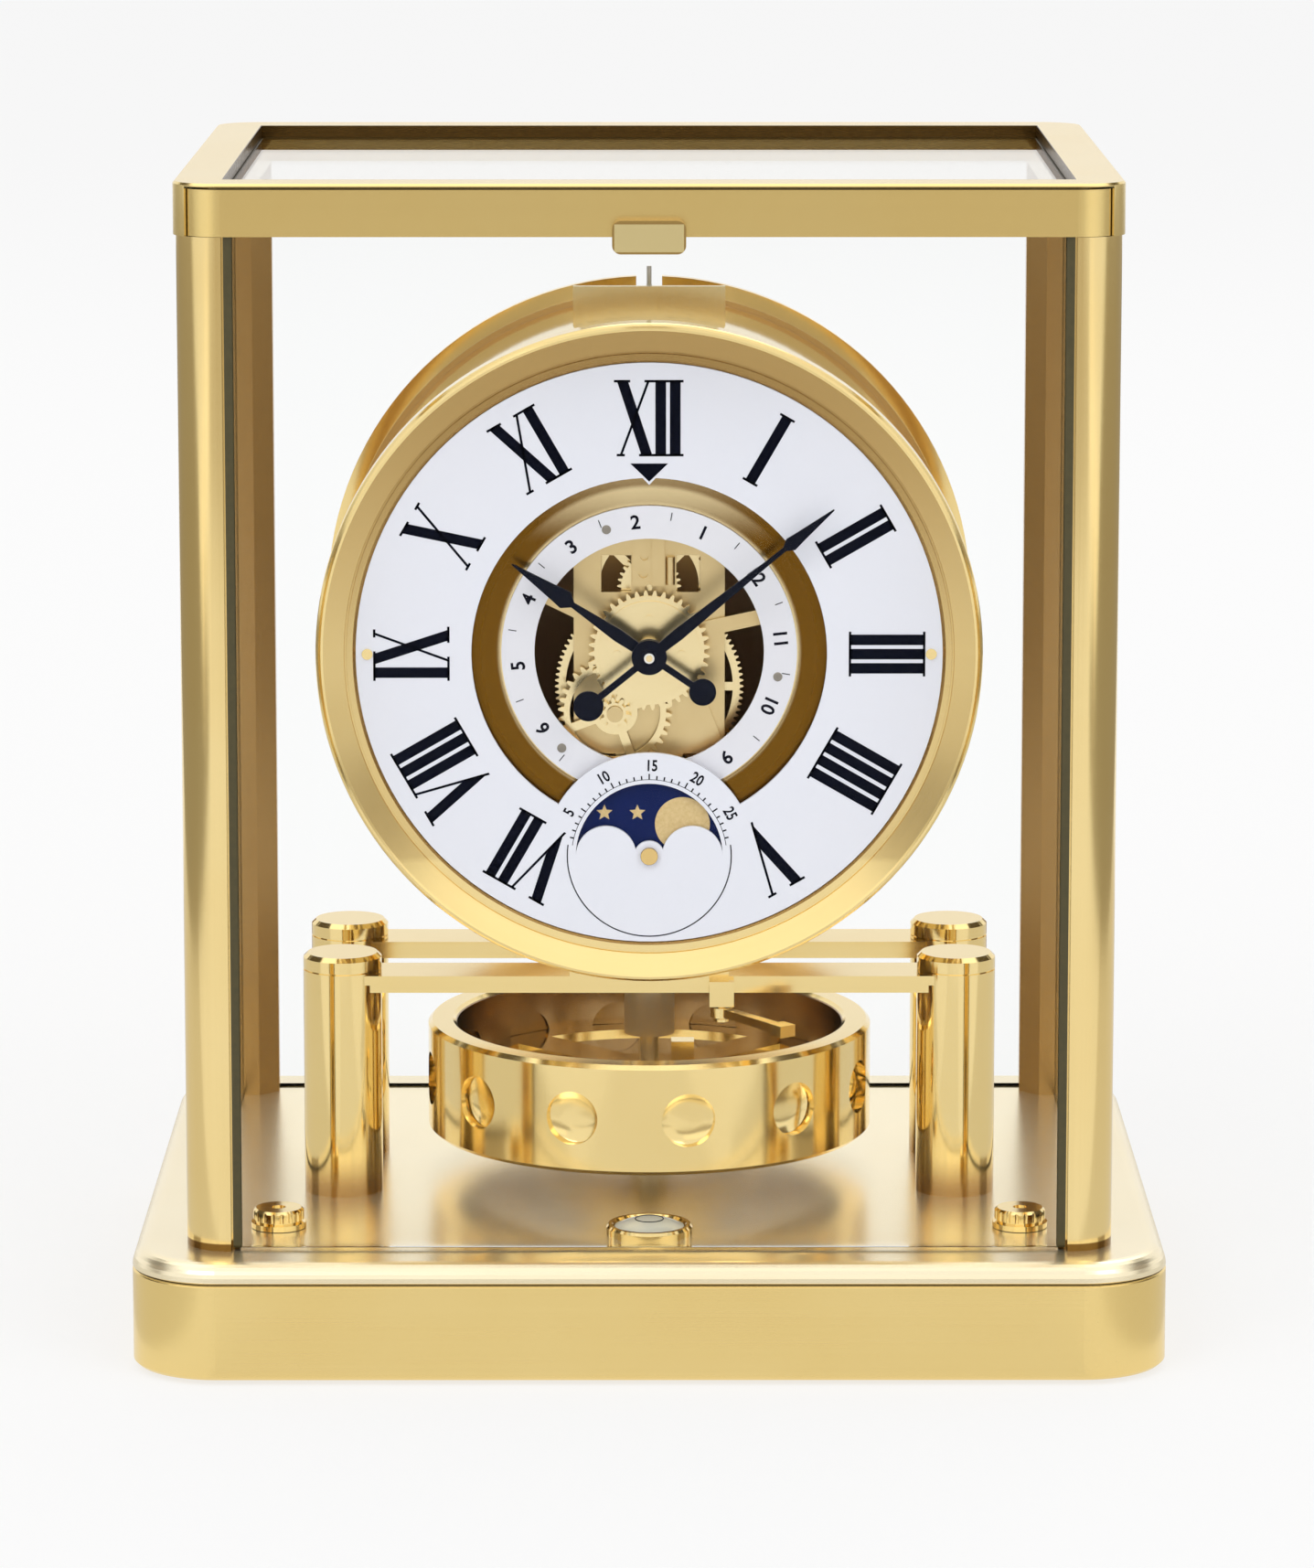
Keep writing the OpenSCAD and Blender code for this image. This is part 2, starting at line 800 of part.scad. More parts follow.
// The wheel behind the month ring: its hub runs in the seat and its flange holds the ring in place.
module month_wheel() {
    color(brass)
    union() {
        facing(bezel_back + 0.1, 1.6) ring_2d(month_r - 1.6 - run, month_in + 0.4);
        facing(bezel_back + 0.8, 0.7)
        difference() {
            gear_2d(96, 2 * (month_r + 0.4) / 96, 0);
            circle(r = month_in + 0.4);
        }
    }
}

module moon_disc() {
    color(night)
    translate([0, 0, -moon_drop])
    union() {
        facing(dial_back + 1, 0.5) circle(r = moon_disc_r);
        pin_y(0, 0, 0.8, dial_back - dial_t - 0.8, dial_back + 1);
        pin_y(0, 0, 1.6, dial_back - dial_t - 0.8, dial_back - dial_t - 0.2);
    }
}

// Hands

// Half outlines of the blades as [half width, distance from the middle].
minute_blade = [[0.9, 0], [1.15, 7], [0.45, 28], [0.42, 32], [1.3, 33.4], [1, 35.6]];
hour_blade = [[0.9, 0], [1.2, 7], [0.5, 17], [1.75, 18.6], [1.4, 21]];

module hand(y, angle, blade, length, ball_at, ball_r, bore) {
    side = concat(blade, [[0.12, length]]);
    n = len(side);
    outline = concat(side, [for (i = [n - 1:-1:0]) [-side[i][0], side[i][1]]]);
    color(ink)
    translate([0, y, dial_z])
    rotate([90, angle, 0])
    difference() {
        union() {
            cylinder(r = 3.24, h = hand_t);
            linear_extrude(height = hand_t) polygon(outline);
            translate([-0.6, -ball_at, 0]) cube([1.2, ball_at, hand_t]);
            translate([0, -ball_at, 0]) cylinder(r = ball_r, h = hand_t);
        }
        translate([0, 0, -1]) cylinder(r = bore, h = 4);
    }
}

module minute_hand() {
    hand(minute_y, minute_angle, minute_blade, minute_hand_len, 14.4, 2.8, 1.3);
}

module hour_hand() {
    hand(hour_y, hour_angle, hour_blade, hour_hand_len, 11.9, 2.5, 2.3);
}

module hand_nut() {
    color(steel)
    difference() {
        union() {
            pin_y(0, 0, 1.3, minute_y - hand_t, minute_y);
            pin_y(0, 0, 1.5, minute_y - hand_t - 0.9, minute_y - hand_t);
        }
        pin_y(0, 0, 0.6, minute_y - 4, minute_y + 1);
    }
}

// Movement

module cannon_pinion() {
    toward = heading(0, 0, minute_wheel_x, minute_wheel_z);
    color(steel)
    difference() {
        union() {
            facing(plate_front - 0.7, 1.3) gear_2d(cannon_teeth, cannon_m, toward, 0.7);
            pin_y(0, 0, 1.6, minute_y, plate_front - 0.7);
        }
        pin_y(0, 0, 0.8, minute_y - 10, plate_front + 1);
    }
}

// The arbor of the hands with its gear behind the front plate.
module centre_wheel() {
    color(brass)
    union() {
        facing(plate_front + plate_t + 1.4, 0.9) gear_2d(pair_teeth, pair_m, 90);
        pin_y(0, 0, 0.8, minute_y, plate_front + plate_t + 1.5);
        pin_y(0, 0, 0.6, minute_y - hand_t - 1.1, minute_y);
    }
}

module hour_wheel() {
    t = heading(minute_wheel_x, minute_wheel_z, 0, 0);
    color(brass)
    difference() {
        union() {
            facing(plate_front - 2.5, 0.9) gear_2d(hour_teeth, hour_m, meshed(t + 180, hour_teeth));
            facing(plate_front - 3.4, 0.4) circle(r = 9.3);
            pin_y(0, 0, 2.3, hour_y - hand_t, plate_front - 2.5);
        }
        pin_y(0, 0, 1.6 + run, minute_y - 10, plate_front + 1);
    }
    color(steel)
    for (a = [90, 186, 354])
        pin_y(6 * cos(a), 6 * sin(a), 0.7, plate_front - 4.1, plate_front - 3.8);
}

module minute_wheel() {
    t = heading(0, 0, minute_wheel_x, minute_wheel_z) + 180;
    color(brass)
    translate([minute_wheel_x, 0, minute_wheel_z])
    difference() {
        union() {
            facing(plate_front - 1, 0.7)
            difference() {
                gear_2d(minute_teeth, cannon_m, meshed(t, minute_teeth));
                crossings_2d(8.4, 4.2, 4, 1.6, 20);
            }
            facing(plate_front - 1.7, 1.9) gear_2d(minute_pinion_teeth, hour_m, t, 0.7);
        }
        pin_y(0, 0, 0.9 + run, plate_front - 5, plate_front + 1);
    }
}

module minute_stud() {
    color(steel)
    translate([minute_wheel_x, 0, minute_wheel_z])
    union() {
        pin_y(0, 0, 0.9, plate_front - 4, plate_front);
        pin_y(0, 0, 1.7, plate_front - 0.9, plate_front);
        pin_y(0, 0, 1.5, plate_front - 4.3, plate_front - 3.8);
    }
}

module arbor_holes_2d(rear) {
    if (!rear) {
        circle(r = 0.8 + run);
    }
    translate([0, idler_z]) circle(r = 0.6 + run);
    translate([0, great_z]) circle(r = 1 + run);
    translate([0, escape_z]) circle(r = 0.5 + run);
    translate([0, pallet_z]) circle(r = 0.5 + run);
}

module front_plate() {
    color(brass_light)
    facing(plate_front + plate_t, plate_t)
    difference() {
        union() {
            ring_2d(bore_r, 33.5);
            translate([-strip_w / 2, -36]) square([strip_w, 72]);
        }
        translate([-8.9, 10.4]) square([5.6, 6.9]);
        translate([5, 10.4]) square([4.5, 6.9]);
        translate([-12.2, -28]) square([6, 8]);
        translate([6.2, -28]) square([6, 8]);
        arbor_holes_2d(false);
    }
    minute_stud();
}

module rear_plate() {
    color(brass)
    facing(rear_plate_front + plate_t, plate_t)
    difference() {
        translate([-strip_w / 2, -34]) square([strip_w, 76]);
        translate([-8, -30]) square([16, 6]);
        arbor_holes_2d(true);
    }
}

module plate_posts() {
    color(brass_light)
    for (s = [-1, 1], z = [-31.5, 38])
        pin_y(s * 11.5, z, 1.7, plate_front + plate_t, rear_plate_front);
}

// Bars fixed on the front plate, seen through the dial.
module bar_2d(x0, z0, x1, z1, w) {
    translate([x0, z0])
    rotate(heading(x0, z0, x1, z1))
    translate([0, -w / 2]) square([norm([x1 - x0, z1 - z0]), w]);
}

module train_cock() {
    color(brass)
    difference() {
        union() {
            facing(plate_front, 0.7) translate([-3.1, 11.6]) square([6, 18]);
            facing(plate_front - 0.7, 0.7) translate([0.5, 11.8]) square([2.3, 17]);
        }
        pin_y(-0.9, 17.2, 0.8, plate_front - 5, plate_front + 0.1);
        pin_y(-1.1, 14, 0.9, plate_front - 5, plate_front + 0.1);
        facing(plate_front + 0.1, 5) arbor_holes_2d(false);
    }
    color(brass_light) steady_bars();
    color(steel) click_rod();
}

module steady_bars() {
    union() {
        facing(plate_front, 0.8) {
            bar_2d(8.4, 3.2, 24, 6.6, 2.8);
            bar_2d(-12.6, 6, -24, 11.6, 1.7);
        }
        facing(plate_front, 0.6) {
            translate([5, -14]) square([3, 5.6]);
            bar_2d(8.6, -7.6, 13.6, -20, 2);
        }
    }
}

module click_rod() {
    intersection() {
        translate([3.9, plate_front - 0.6, dial_z + 11.9]) cylinder(r = 0.85, h = 5.2);
        translate([3, plate_front - 5, dial_z + 11]) cube([2, 5, 8]);
    }
}

module third_wheel() {
    color(brass)
    translate([0, 0, idler_z])
    union() {
        facing(plate_front + plate_t + 1.4, 0.9) gear_2d(pair_teeth, pair_m, meshed(-90, pair_teeth));
        facing(plate_front + 4.4, 0.8)
        difference() {
            gear_2d(third_teeth, third_m, 90);
            crossings_2d(9.2, 3.2, 4, 1.5, 45);
        }
        facing(plate_front + 6.8, 1.8) gear_2d(idler_teeth, great_m, meshed(-90, idler_teeth), 0.7);
        pin_y(0, 0, 0.6, plate_front - 0.2, rear_plate_front + plate_t + 0.2);
    }
}

// The great wheel is fixed to the barrel of the mainspring.
module great_wheel() {
    color(brass)
    translate([0, 0, great_z])
    union() {
        facing(plate_front + 6.5, 1.2)
        difference() {
            gear_2d(great_teeth, great_m, 90);
            crossings_2d(15.6, 12, 6, 1.6, 0);
        }
        pin_y(0, 0, 1, plate_front - 0.2, rear_plate_front + plate_t + 0.2);
        turned(rear_plate_front - 2.2) polygon([[0, 0], [11.4, 0], [11.8, 0.4], [11.8, 10.3], [0, 10.3]]);
    }
}

module escape_wheel() {
    n = 15;
    hook = [[escape_r, 0], [5.2, 5], [5.2, 19]];
    color(brass)
    translate([0, 0, escape_z])
    union() {
        facing(plate_front + 4.8, 1.6) gear_2d(escape_teeth, third_m, meshed(-90, escape_teeth), 0.7);
        facing(plate_front + 7.8, 0.6)
        difference() {
            polygon([for (a = [0:360 / n:359], p = hook) polar(p[0], a + p[1])]);
            crossings_2d(4.4, 1.6, 4, 0.9, 45);
        }
        pin_y(0, 0, 0.5, plate_front - 0.2, rear_plate_front + plate_t + 0.2);
    }
}

// The anchor above the escape wheel rocks, and the arm behind the rear plate passes its push to the roller.
module pallet_fork() {
    color(steel)
    translate([0, 0, pallet_z])
    union() {
        facing(plate_front + 7.8, 0.6)
        union() {
            circle(r = 1.5);
            bar_2d(0, 0, 6.6, -5.5, 1.2);
            bar_2d(0, 0, -6.6, -5.5, 1.2);
            for (s = [-1, 1])
                polygon([[s * 7, -4.9], [s * 6.1, -6], [s * 5.9, -5.6], [s * 6.6, -4.7]]);
        }
        pin_y(0, 0, 0.5, plate_front - 0.2, rear_plate_front + plate_t + 1.4);
        facing(rear_plate_front + plate_t + 1.4, 0.8) {
            circle(r = 1.5);
            translate([-0.7, -8]) square([1.4, 8]);
            translate([-1.6, -8.9]) square([1, 1.6]);
            translate([0.6, -8.9]) square([1, 1.6]);
            translate([-1.6, -8]) square([3.2, 0.8]);
        }
    }
}

// The parts

base_plinth();
base_top();
foot_front_left();
foot_front_right();
foot_rear();
levelling_left();
levelling_right();
level_housing();
level_vial();
post_front_left();
post_front_right();
post_rear_left();
post_rear_right();
top_frame();
top_glass();
glass_left();
glass_right();
glass_rear();
door_glass();
door_header();
door_tab();
columns();
column_caps();
beam_front();
beam_rear();
drum_saddles();
lock_lever();
balance_ring();
balance_web();
balance_spindle();
torsion_wire();
suspension_tube();
head_block();
regulator_index();
drum_case();
drum_cover();
bellows_case();
bellows_head();
bezel();
dial_plate();
dial_screws();
month_seat();
month_ring();
month_wheel();
moon_disc();
minute_hand();
hour_hand();
hand_nut();
cannon_pinion();
centre_wheel();
hour_wheel();
minute_wheel();
front_plate();
rear_plate();
plate_posts();
train_cock();
third_wheel();
great_wheel();
escape_wheel();
pallet_fork();
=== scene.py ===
"""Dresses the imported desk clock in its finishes, prints its dial and lights it in a plain studio."""

import json
import logging
import math
from dataclasses import dataclass, field, replace
from enum import Enum
from typing import Callable, Iterable, Optional, Sequence, Union

import bmesh
import bpy
from mathutils import Matrix, Vector

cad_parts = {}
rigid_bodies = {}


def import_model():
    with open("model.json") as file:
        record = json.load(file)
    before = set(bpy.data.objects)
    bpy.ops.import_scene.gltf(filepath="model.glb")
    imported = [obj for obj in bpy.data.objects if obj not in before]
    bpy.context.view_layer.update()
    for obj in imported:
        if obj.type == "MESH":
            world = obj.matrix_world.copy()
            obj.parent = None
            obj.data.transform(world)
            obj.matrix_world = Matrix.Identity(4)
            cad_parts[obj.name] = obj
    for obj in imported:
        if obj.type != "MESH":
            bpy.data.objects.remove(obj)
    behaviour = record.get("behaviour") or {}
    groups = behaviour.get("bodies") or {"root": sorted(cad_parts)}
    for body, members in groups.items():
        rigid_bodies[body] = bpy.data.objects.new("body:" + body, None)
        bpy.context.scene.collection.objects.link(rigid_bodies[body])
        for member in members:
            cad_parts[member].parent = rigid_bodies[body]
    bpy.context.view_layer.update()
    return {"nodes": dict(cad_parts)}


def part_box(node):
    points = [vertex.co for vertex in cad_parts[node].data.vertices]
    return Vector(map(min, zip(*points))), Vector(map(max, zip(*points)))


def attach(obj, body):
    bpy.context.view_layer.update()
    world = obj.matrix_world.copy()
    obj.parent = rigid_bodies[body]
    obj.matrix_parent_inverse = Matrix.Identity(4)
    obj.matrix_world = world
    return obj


LOG = logging.getLogger("desk_clock")
MM = 0.001
DIAL_Z = 128.9 * MM
SHARP_FROM = math.radians(30)
FACE_ON = (math.radians(90), 0, 0)
Colour = tuple[float, float, float]
WHITE: Colour = (1.0, 1.0, 1.0)


class Grain(Enum):
    """The way that the polishing lines of a metal piece run."""

    ACROSS = "left to right"
    UPRIGHT = "up and down"
    LATHE = "round any upright axis"
    ROUND_DIAL = "round the axis of the dial"
    ROUND_BALANCE = "round the axis of the balance"


def joined(operation: str) -> Callable[..., "Wire"]:
    """The method of a wire that adds the Math node of an operation, with a second value where it has one."""
    def method(self: "Wire", *others: "Value") -> "Wire":
        """Adds the node and returns its result."""
        return self.bench.node("ShaderNodeMath", {"operation": operation}, dict(enumerate((self, *others))))

    return method


class Wire:
    """A socket of a node tree that Python's operators join with Math nodes."""

    __add__ = __radd__ = joined("ADD")
    __mul__ = __rmul__ = joined("MULTIPLY")
    __sub__ = joined("SUBTRACT")
    __truediv__ = joined("DIVIDE")
    __pow__ = joined("POWER")
    __gt__ = joined("GREATER_THAN")
    __lt__ = joined("LESS_THAN")
    __abs__ = joined("ABSOLUTE")
    most = joined("MAXIMUM")

    def __init__(self, bench: "Bench", socket: bpy.types.NodeSocket) -> None:
        """Keeps the socket and the bench that its tree is built on."""
        self.bench = bench
        self.socket = socket

    def ease(self, low: float, high: float) -> "Wire":
        """Runs smoothly from 0 where this value is low to 1 where it is high."""
        settings = {"interpolation_type": "SMOOTHSTEP"}
        return self.bench.node("ShaderNodeMapRange", settings, {"Value": self, "From Min": low, "From Max": high})


Value = Union[Wire, float, int, tuple]


def reach(first: Wire, second: Wire) -> Wire:
    """The distance from an axis, of a point's two places across it."""
    return (first * first + second * second) ** 0.5


class Bench:
    """Builds the node tree of one material or of the world."""

    def __init__(self, owner: Union[bpy.types.Material, bpy.types.World]) -> None:
        """Empties the owner's node tree and gets ready to fill it."""
        owner.use_nodes = True
        self.tree = owner.node_tree
        self.tree.nodes.clear()
        self.end = self.tree.nodes.new(
            "ShaderNodeOutputWorld" if isinstance(owner, bpy.types.World) else "ShaderNodeOutputMaterial")

    def node(self, kind: str, settings: Optional[dict] = None, inputs: Optional[dict] = None,
             out: Union[int, str] = 0) -> Wire:
        """Adds a node.

        Args:
            kind: the node's type.
            settings: the node's own settings, set before its sockets.
            inputs: a value or a wire for each input, by name or number.
            out: the output that is wanted, by name or number.

        Returns:
            The output as a wire.
        """
        made = self.tree.nodes.new(kind)
        for name, value in (settings or {}).items():
            setattr(made, name, value)
        for name, value in (inputs or {}).items():
            self.feed(made.inputs[name], value)
        return Wire(self, made.outputs[out])

    def feed(self, socket: bpy.types.NodeSocket, value: Value) -> None:
        """Joins a wire to an input or sets its value, where a colour may have three parts."""
        if isinstance(value, Wire):
            self.tree.links.new(value.socket, socket)
        elif isinstance(value, tuple) and socket.type == "RGBA" and len(value) == 3:
            socket.default_value = (*value, 1.0)
        else:
            socket.default_value = value

    def place(self) -> Wire:
        """The point of the surface on the object's own axes, in metres."""
        return self.node("ShaderNodeTexCoord", out="Object")

    def split(self, vector: Wire) -> tuple[Wire, Wire, Wire]:
        """The three parts of a vector."""
        parts = self.node("ShaderNodeSeparateXYZ", inputs={"Vector": vector}).socket.node
        return tuple(Wire(self, parts.outputs[i]) for i in range(3))

    def vector(self, x: Value, y: Value, z: Value) -> Wire:
        """A vector of three values."""
        return self.node("ShaderNodeCombineXYZ", inputs={"X": x, "Y": y, "Z": z})

    def noise(self, vector: Wire, scale: float, detail: float = 2.0) -> Wire:
        """Soft noise from 0 to 1, with a scale in bumps to a metre and a number of finer layers."""
        return self.node("ShaderNodeTexNoise", {}, {"Vector": vector, "Scale": scale, "Detail": detail}, "Fac")

    def blend(self, share: Value, first: Value, second: Value) -> Wire:
        """Mixes two colours; a share of 1 gives the second."""
        made = self.node("ShaderNodeMix", {"data_type": "RGBA"}).socket.node
        for name, value in (("Factor_Float", share), ("A_Color", first), ("B_Color", second)):
            self.feed(next(s for s in made.inputs if s.identifier == name), value)
        return Wire(self, next(s for s in made.outputs if s.identifier == "Result_Color"))

    def bump(self, height: Wire, strength: float, depth: float) -> Wire:
        """A normal raised by a height from 0 to 1, where 1 stands for a depth in metres."""
        return self.node("ShaderNodeBump", {}, {"Height": height, "Strength": strength, "Distance": depth})

    def coat(self, inputs: dict) -> Wire:
        """A Principled shader with the inputs given."""
        return self.node("ShaderNodeBsdfPrincipled", {}, inputs)

    def glow(self, tone: Colour) -> Wire:
        """Light of a colour at a strength of 1."""
        return self.node("ShaderNodeEmission", {}, {"Color": tone, "Strength": 1.0})

    def layer(self, share: Value, first: Wire, second: Wire) -> Wire:
        """Mixes two shaders; a share of 1 gives the second."""
        return self.node("ShaderNodeMixShader", {}, {0: share, 1: first, 2: second})

    def let_lamps_through(self, shader: Wire, tone: Colour) -> Wire:
        """A shader that lets the light of the lamps through in a colour."""
        clear = self.node("ShaderNodeBsdfTransparent", {}, {"Color": tone})
        return self.layer(self.node("ShaderNodeLightPath", out="Is Shadow Ray"), shader, clear)

    def surface(self, shader: Wire) -> None:
        """Joins a shader to the surface."""
        self.tree.links.new(shader.socket, self.end.inputs["Surface"])


@dataclass(frozen=True)
class Finish:
    """A finish that is made into a material once and shared by the pieces that have it."""

    name: str

    def make(self) -> bpy.types.Material:
        """The material of this finish, built the first time that it is asked for."""
        found = bpy.data.materials.get(self.name)
        if found is None:
            found = bpy.data.materials.new(self.name)
            self.build(Bench(found))
        return found

    def build(self, bench: Bench) -> None:
        """Fills the node tree; each finish has its own way."""
        raise NotImplementedError


@dataclass(frozen=True)
class Hollow:
    """A part of a piece where shade is painted into the brass as brown, which is also rougher there.

    Args:
        low: the height in metres where it starts to show.
        high: the height where it shows in full; below low, it fades the other way.
        share: how strongly it shows where it is full.
    """

    low: float = -1.0
    high: float = -0.9
    share: float = field(default=1.0, kw_only=True)

    def inside(self, x: Wire, y: Wire, z: Wire) -> Wire:
        """One within the shaded part; each shape has its own way."""
        raise NotImplementedError

    def mask(self, bench: Bench) -> Wire:
        """How much of the painted shade shows, from 0 to 1."""
        x, y, z = bench.split(bench.place())
        return self.inside(x, y, z) * z.ease(self.low, self.high) * self.share


@dataclass(frozen=True)
class Bore(Hollow):
    """All that lies nearer to the axis of the dial than a radius.

    Args:
        radius: the radius in metres.
        inner: the radius that it starts at.
        soft: the width of the soft edge there.
    """

    radius: float = 0.05
    inner: float = -0.01
    soft: float = 1.1 * MM

    def inside(self, x: Wire, y: Wire, z: Wire) -> Wire:
        """One nearer to the axis than the radius and beyond the inner one."""
        far = reach(x, z - DIAL_Z)
        return (far < self.radius) * far.ease(self.inner, self.inner + self.soft)


@dataclass(frozen=True)
class Well(Hollow):
    """All that lies nearer to the upright axis than a radius.

    Args:
        radius: the radius in metres.
    """

    radius: float = 0.05

    def inside(self, x: Wire, y: Wire, z: Wire) -> Wire:
        """One nearer to the axis than the radius."""
        return reach(x, y) < self.radius


@dataclass(frozen=True)
class Chamber(Hollow):
    """All that lies within an upright box on the middle line of the clock.

    Args:
        half_x: half its width in metres.
        half_y: half its depth in metres.
        middle_y: the distance of its middle behind the clock's, in metres.
    """

    half_x: float = 1.0
    half_y: float = 1.0
    middle_y: float = 0.0

    def inside(self, x: Wire, y: Wire, z: Wire) -> Wire:
        """One within the box."""
        return (abs(x) < self.half_x) * (abs(y - self.middle_y) < self.half_y)


@dataclass(frozen=True)
class Rim(Hollow):
    """Painted shade along the outline of a small plate that faces the door.

    Args:
        half_x: half its width in metres.
        foot: its lower edge in metres.
        top: its upper edge in metres.
        band: the width of the outline in metres.
    """

    half_x: float = 5 * MM
    foot: float = 0.0
    top: float = 0.0
    band: float = 0.4 * MM

    def inside(self, x: Wire, y: Wire, z: Wire) -> Wire:
        """One along the outline."""
        ends = abs(x) > (self.half_x - self.band)
        return ends.most(z > (self.top - self.band * 1.6)).most(z < (self.foot + self.band))


@dataclass(frozen=True)
class Brass(Finish):
    """Lacquered brass with polishing lines.

    The colour drifts a little between two tones, the lines run one way, faint cloudy marks change the gloss, and
    painted shade browns chosen parts of the piece.

    Args:
        tone: the first tone.
        deep: the second tone.
        gloss: the roughness of the plain metal.
        lines: how much rougher the polishing lines are.
        line_size: the width of a line in metres.
        relief: the depth of a line in metres.
        grain: the way that the lines run.
        metal: how metallic it is.
        hollows: the parts where shade is painted in brown.
        brown: the tone of the painted shade.
        sunk: how much less metallic they are.
        dulled: how much rougher they are.
        cloud_scale: how many cloudy patches there are to a metre.
        mark_scale: how many faint marks there are to a metre.
    """

    tone: Colour = (0.91, 0.71, 0.33)
    deep: Colour = (0.86, 0.63, 0.25)
    gloss: float = 0.10
    lines: float = 0.05
    line_size: float = 0.00012
    relief: float = 0.000001
    grain: Grain = Grain.ACROSS
    metal: float = 1.0
    hollows: tuple[Hollow, ...] = ()
    brown: Colour = (0.26, 0.15, 0.045)
    sunk: float = 0.0
    dulled: float = 0.06
    cloud_scale: float = 38.0
    mark_scale: float = 420.0

    def along(self, bench: Bench) -> Wire:
        """Coordinates that are fine across the polishing lines and slow along them."""
        x, y, z = bench.split(bench.place())
        fine, slow, least = 1 / self.line_size, 9.0, 1e-6
        straight = {
            Grain.ACROSS: (slow, fine, fine), Grain.UPRIGHT: (fine, fine, slow), Grain.LATHE: (slow, slow, fine)}
        if self.grain in straight:
            return bench.vector(*(part * scale for part, scale in zip((x, y, z), straight[self.grain])))
        if self.grain is Grain.ROUND_DIAL:
            high = z - DIAL_Z
            far = reach(x, high) + least
            return bench.vector(x / far, far * fine + y * fine, high / far)
        far = reach(x, y) + least
        return bench.vector(x / far, y / far, far * fine + z * fine)

    def build(self, bench: Bench) -> None:
        """Fills the node tree of the brass."""
        place = bench.place()
        lines = bench.noise(self.along(bench), 1.0, 3.0)
        cloud = bench.noise(place, self.cloud_scale, 3.0)
        marks = bench.noise(place, self.mark_scale)
        colour = bench.blend((cloud - 0.35) * 0.9 + (lines - 0.5) * 0.5, self.tone, self.deep)
        rough = (lines - 0.5) * self.lines + cloud * 0.03 + marks * 0.025 + self.gloss
        metal = self.metal
        # Painted shade: each shaded part turns the colour brown, and makes it rougher and, where sunk is set, less
        # metallic.
        for shaded_part in self.hollows:
            dull = shaded_part.mask(bench)
            colour = bench.blend(dull, colour, self.brown)
            rough = rough + dull * self.dulled
            if self.sunk:
                metal = dull * -self.sunk + metal
        normal = bench.bump(lines * 0.9 + marks * 0.1, 0.35, self.relief)
        bench.surface(bench.coat({
            "Base Color": colour, "Metallic": metal, "Roughness": rough, "Normal": normal}))


@dataclass(frozen=True)
class Steel(Finish):
    """Fine ground steel, with a tone for plain or dark pieces.

    Args:
        tone: the lighter tone.
        gloss: its roughness.
        shade: the darker tone as a share of the lighter one.
        line_scale: how many ground lines there are to a metre.
        cloud_scale: how many cloudy patches there are to a metre.
    """

    tone: Colour = (0.60, 0.59, 0.57)
    gloss: float = 0.22
    shade: float = 0.72
    line_scale: float = 6000.0
    cloud_scale: float = 120.0

    def build(self, bench: Bench) -> None:
        """Fills the node tree of the steel."""
        place = bench.place()
        lines = bench.noise(place, self.line_scale, 3.0)
        cloud = bench.noise(place, self.cloud_scale)
        darker = tuple(c * self.shade for c in self.tone)
        bench.surface(bench.coat({
            "Base Color": bench.blend(cloud, self.tone, darker), "Metallic": 1.0,
            "Roughness": lines * 0.1 + cloud * 0.05 + self.gloss,
            "Normal": bench.bump(lines, 0.25, 0.000004)}))


@dataclass(frozen=True)
class Frosted(Finish):
    """Gilt and frosted movement brass with a fine even sparkle.

    Args:
        tone: the first tone.
        deep: the second tone.
        gloss: its roughness.
        metal: how metallic it is.
        grit_scale: how many grains of the frosting there are to a metre.
        cloud_scale: how many cloudy patches there are to a metre.
    """

    tone: Colour
    deep: Colour
    gloss: float = 0.24
    metal: float = 1.0
    grit_scale: float = 5200.0
    cloud_scale: float = 150.0

    def build(self, bench: Bench) -> None:
        """Fills the node tree of the frosted brass."""
        place = bench.place()
        grit = bench.noise(place, self.grit_scale)
        cloud = bench.noise(place, self.cloud_scale)
        bench.surface(bench.coat({
            "Base Color": bench.blend(cloud * 0.7 + grit * 0.3, self.tone, self.deep), "Metallic": self.metal,
            "Roughness": grit * 0.08 + cloud * 0.06 + self.gloss,
            "Normal": bench.bump(grit, 0.35, 0.000006)}))


@dataclass(frozen=True)
class Pane(Finish):
    """A clear pane with painted shade in dark bands along its edges.

    Args:
        edges: the planes of its edges as (axis, place, width of the painted dark band), in metres.
        bend: its index of refraction, low as on coated glass that hardly mirrors.
        ground: the tone of the painted dark bands along the edges.
        ground_drift: the tone that it drifts to.
    """

    edges: tuple[tuple[int, float, float], ...]
    bend: float = 1.09
    ground: Colour = (0.055, 0.045, 0.012)
    ground_drift: Colour = (0.09, 0.07, 0.02)

    @staticmethod
    def both(axis: int, half: float, band: float) -> tuple[tuple[int, float, float], ...]:
        """The two edges at either side of the middle of an axis."""
        return (axis, half, band), (axis, -half, band)

    def build(self, bench: Bench) -> None:
        """Fills the node tree of the pane."""
        place = bench.place()
        axes = bench.split(place)
        film = bench.noise(place, 30.0)
        glass = bench.coat({
            "Base Color": bench.blend(film, (0.997, 1.0, 0.999), (0.993, 0.998, 0.996)),
            "Roughness": film * 0.004, "IOR": self.bend, "Transmission Weight": 1.0})
        # Painted shade: dark bands along the edges, for the gaps where the pane meets the posts and the frame.
        near = [abs(axes[axis] - edge) < band for axis, edge, band in self.edges]
        mask = near[0]
        for band in near[1:]:
            mask = mask.most(band)
        grit = bench.noise(place, 900.0)
        ground = bench.coat({
            "Base Color": bench.blend(grit, self.ground, self.ground_drift), "Roughness": grit * 0.2 + 0.35})
        bench.surface(bench.layer(mask, bench.let_lamps_through(glass, WHITE), ground))


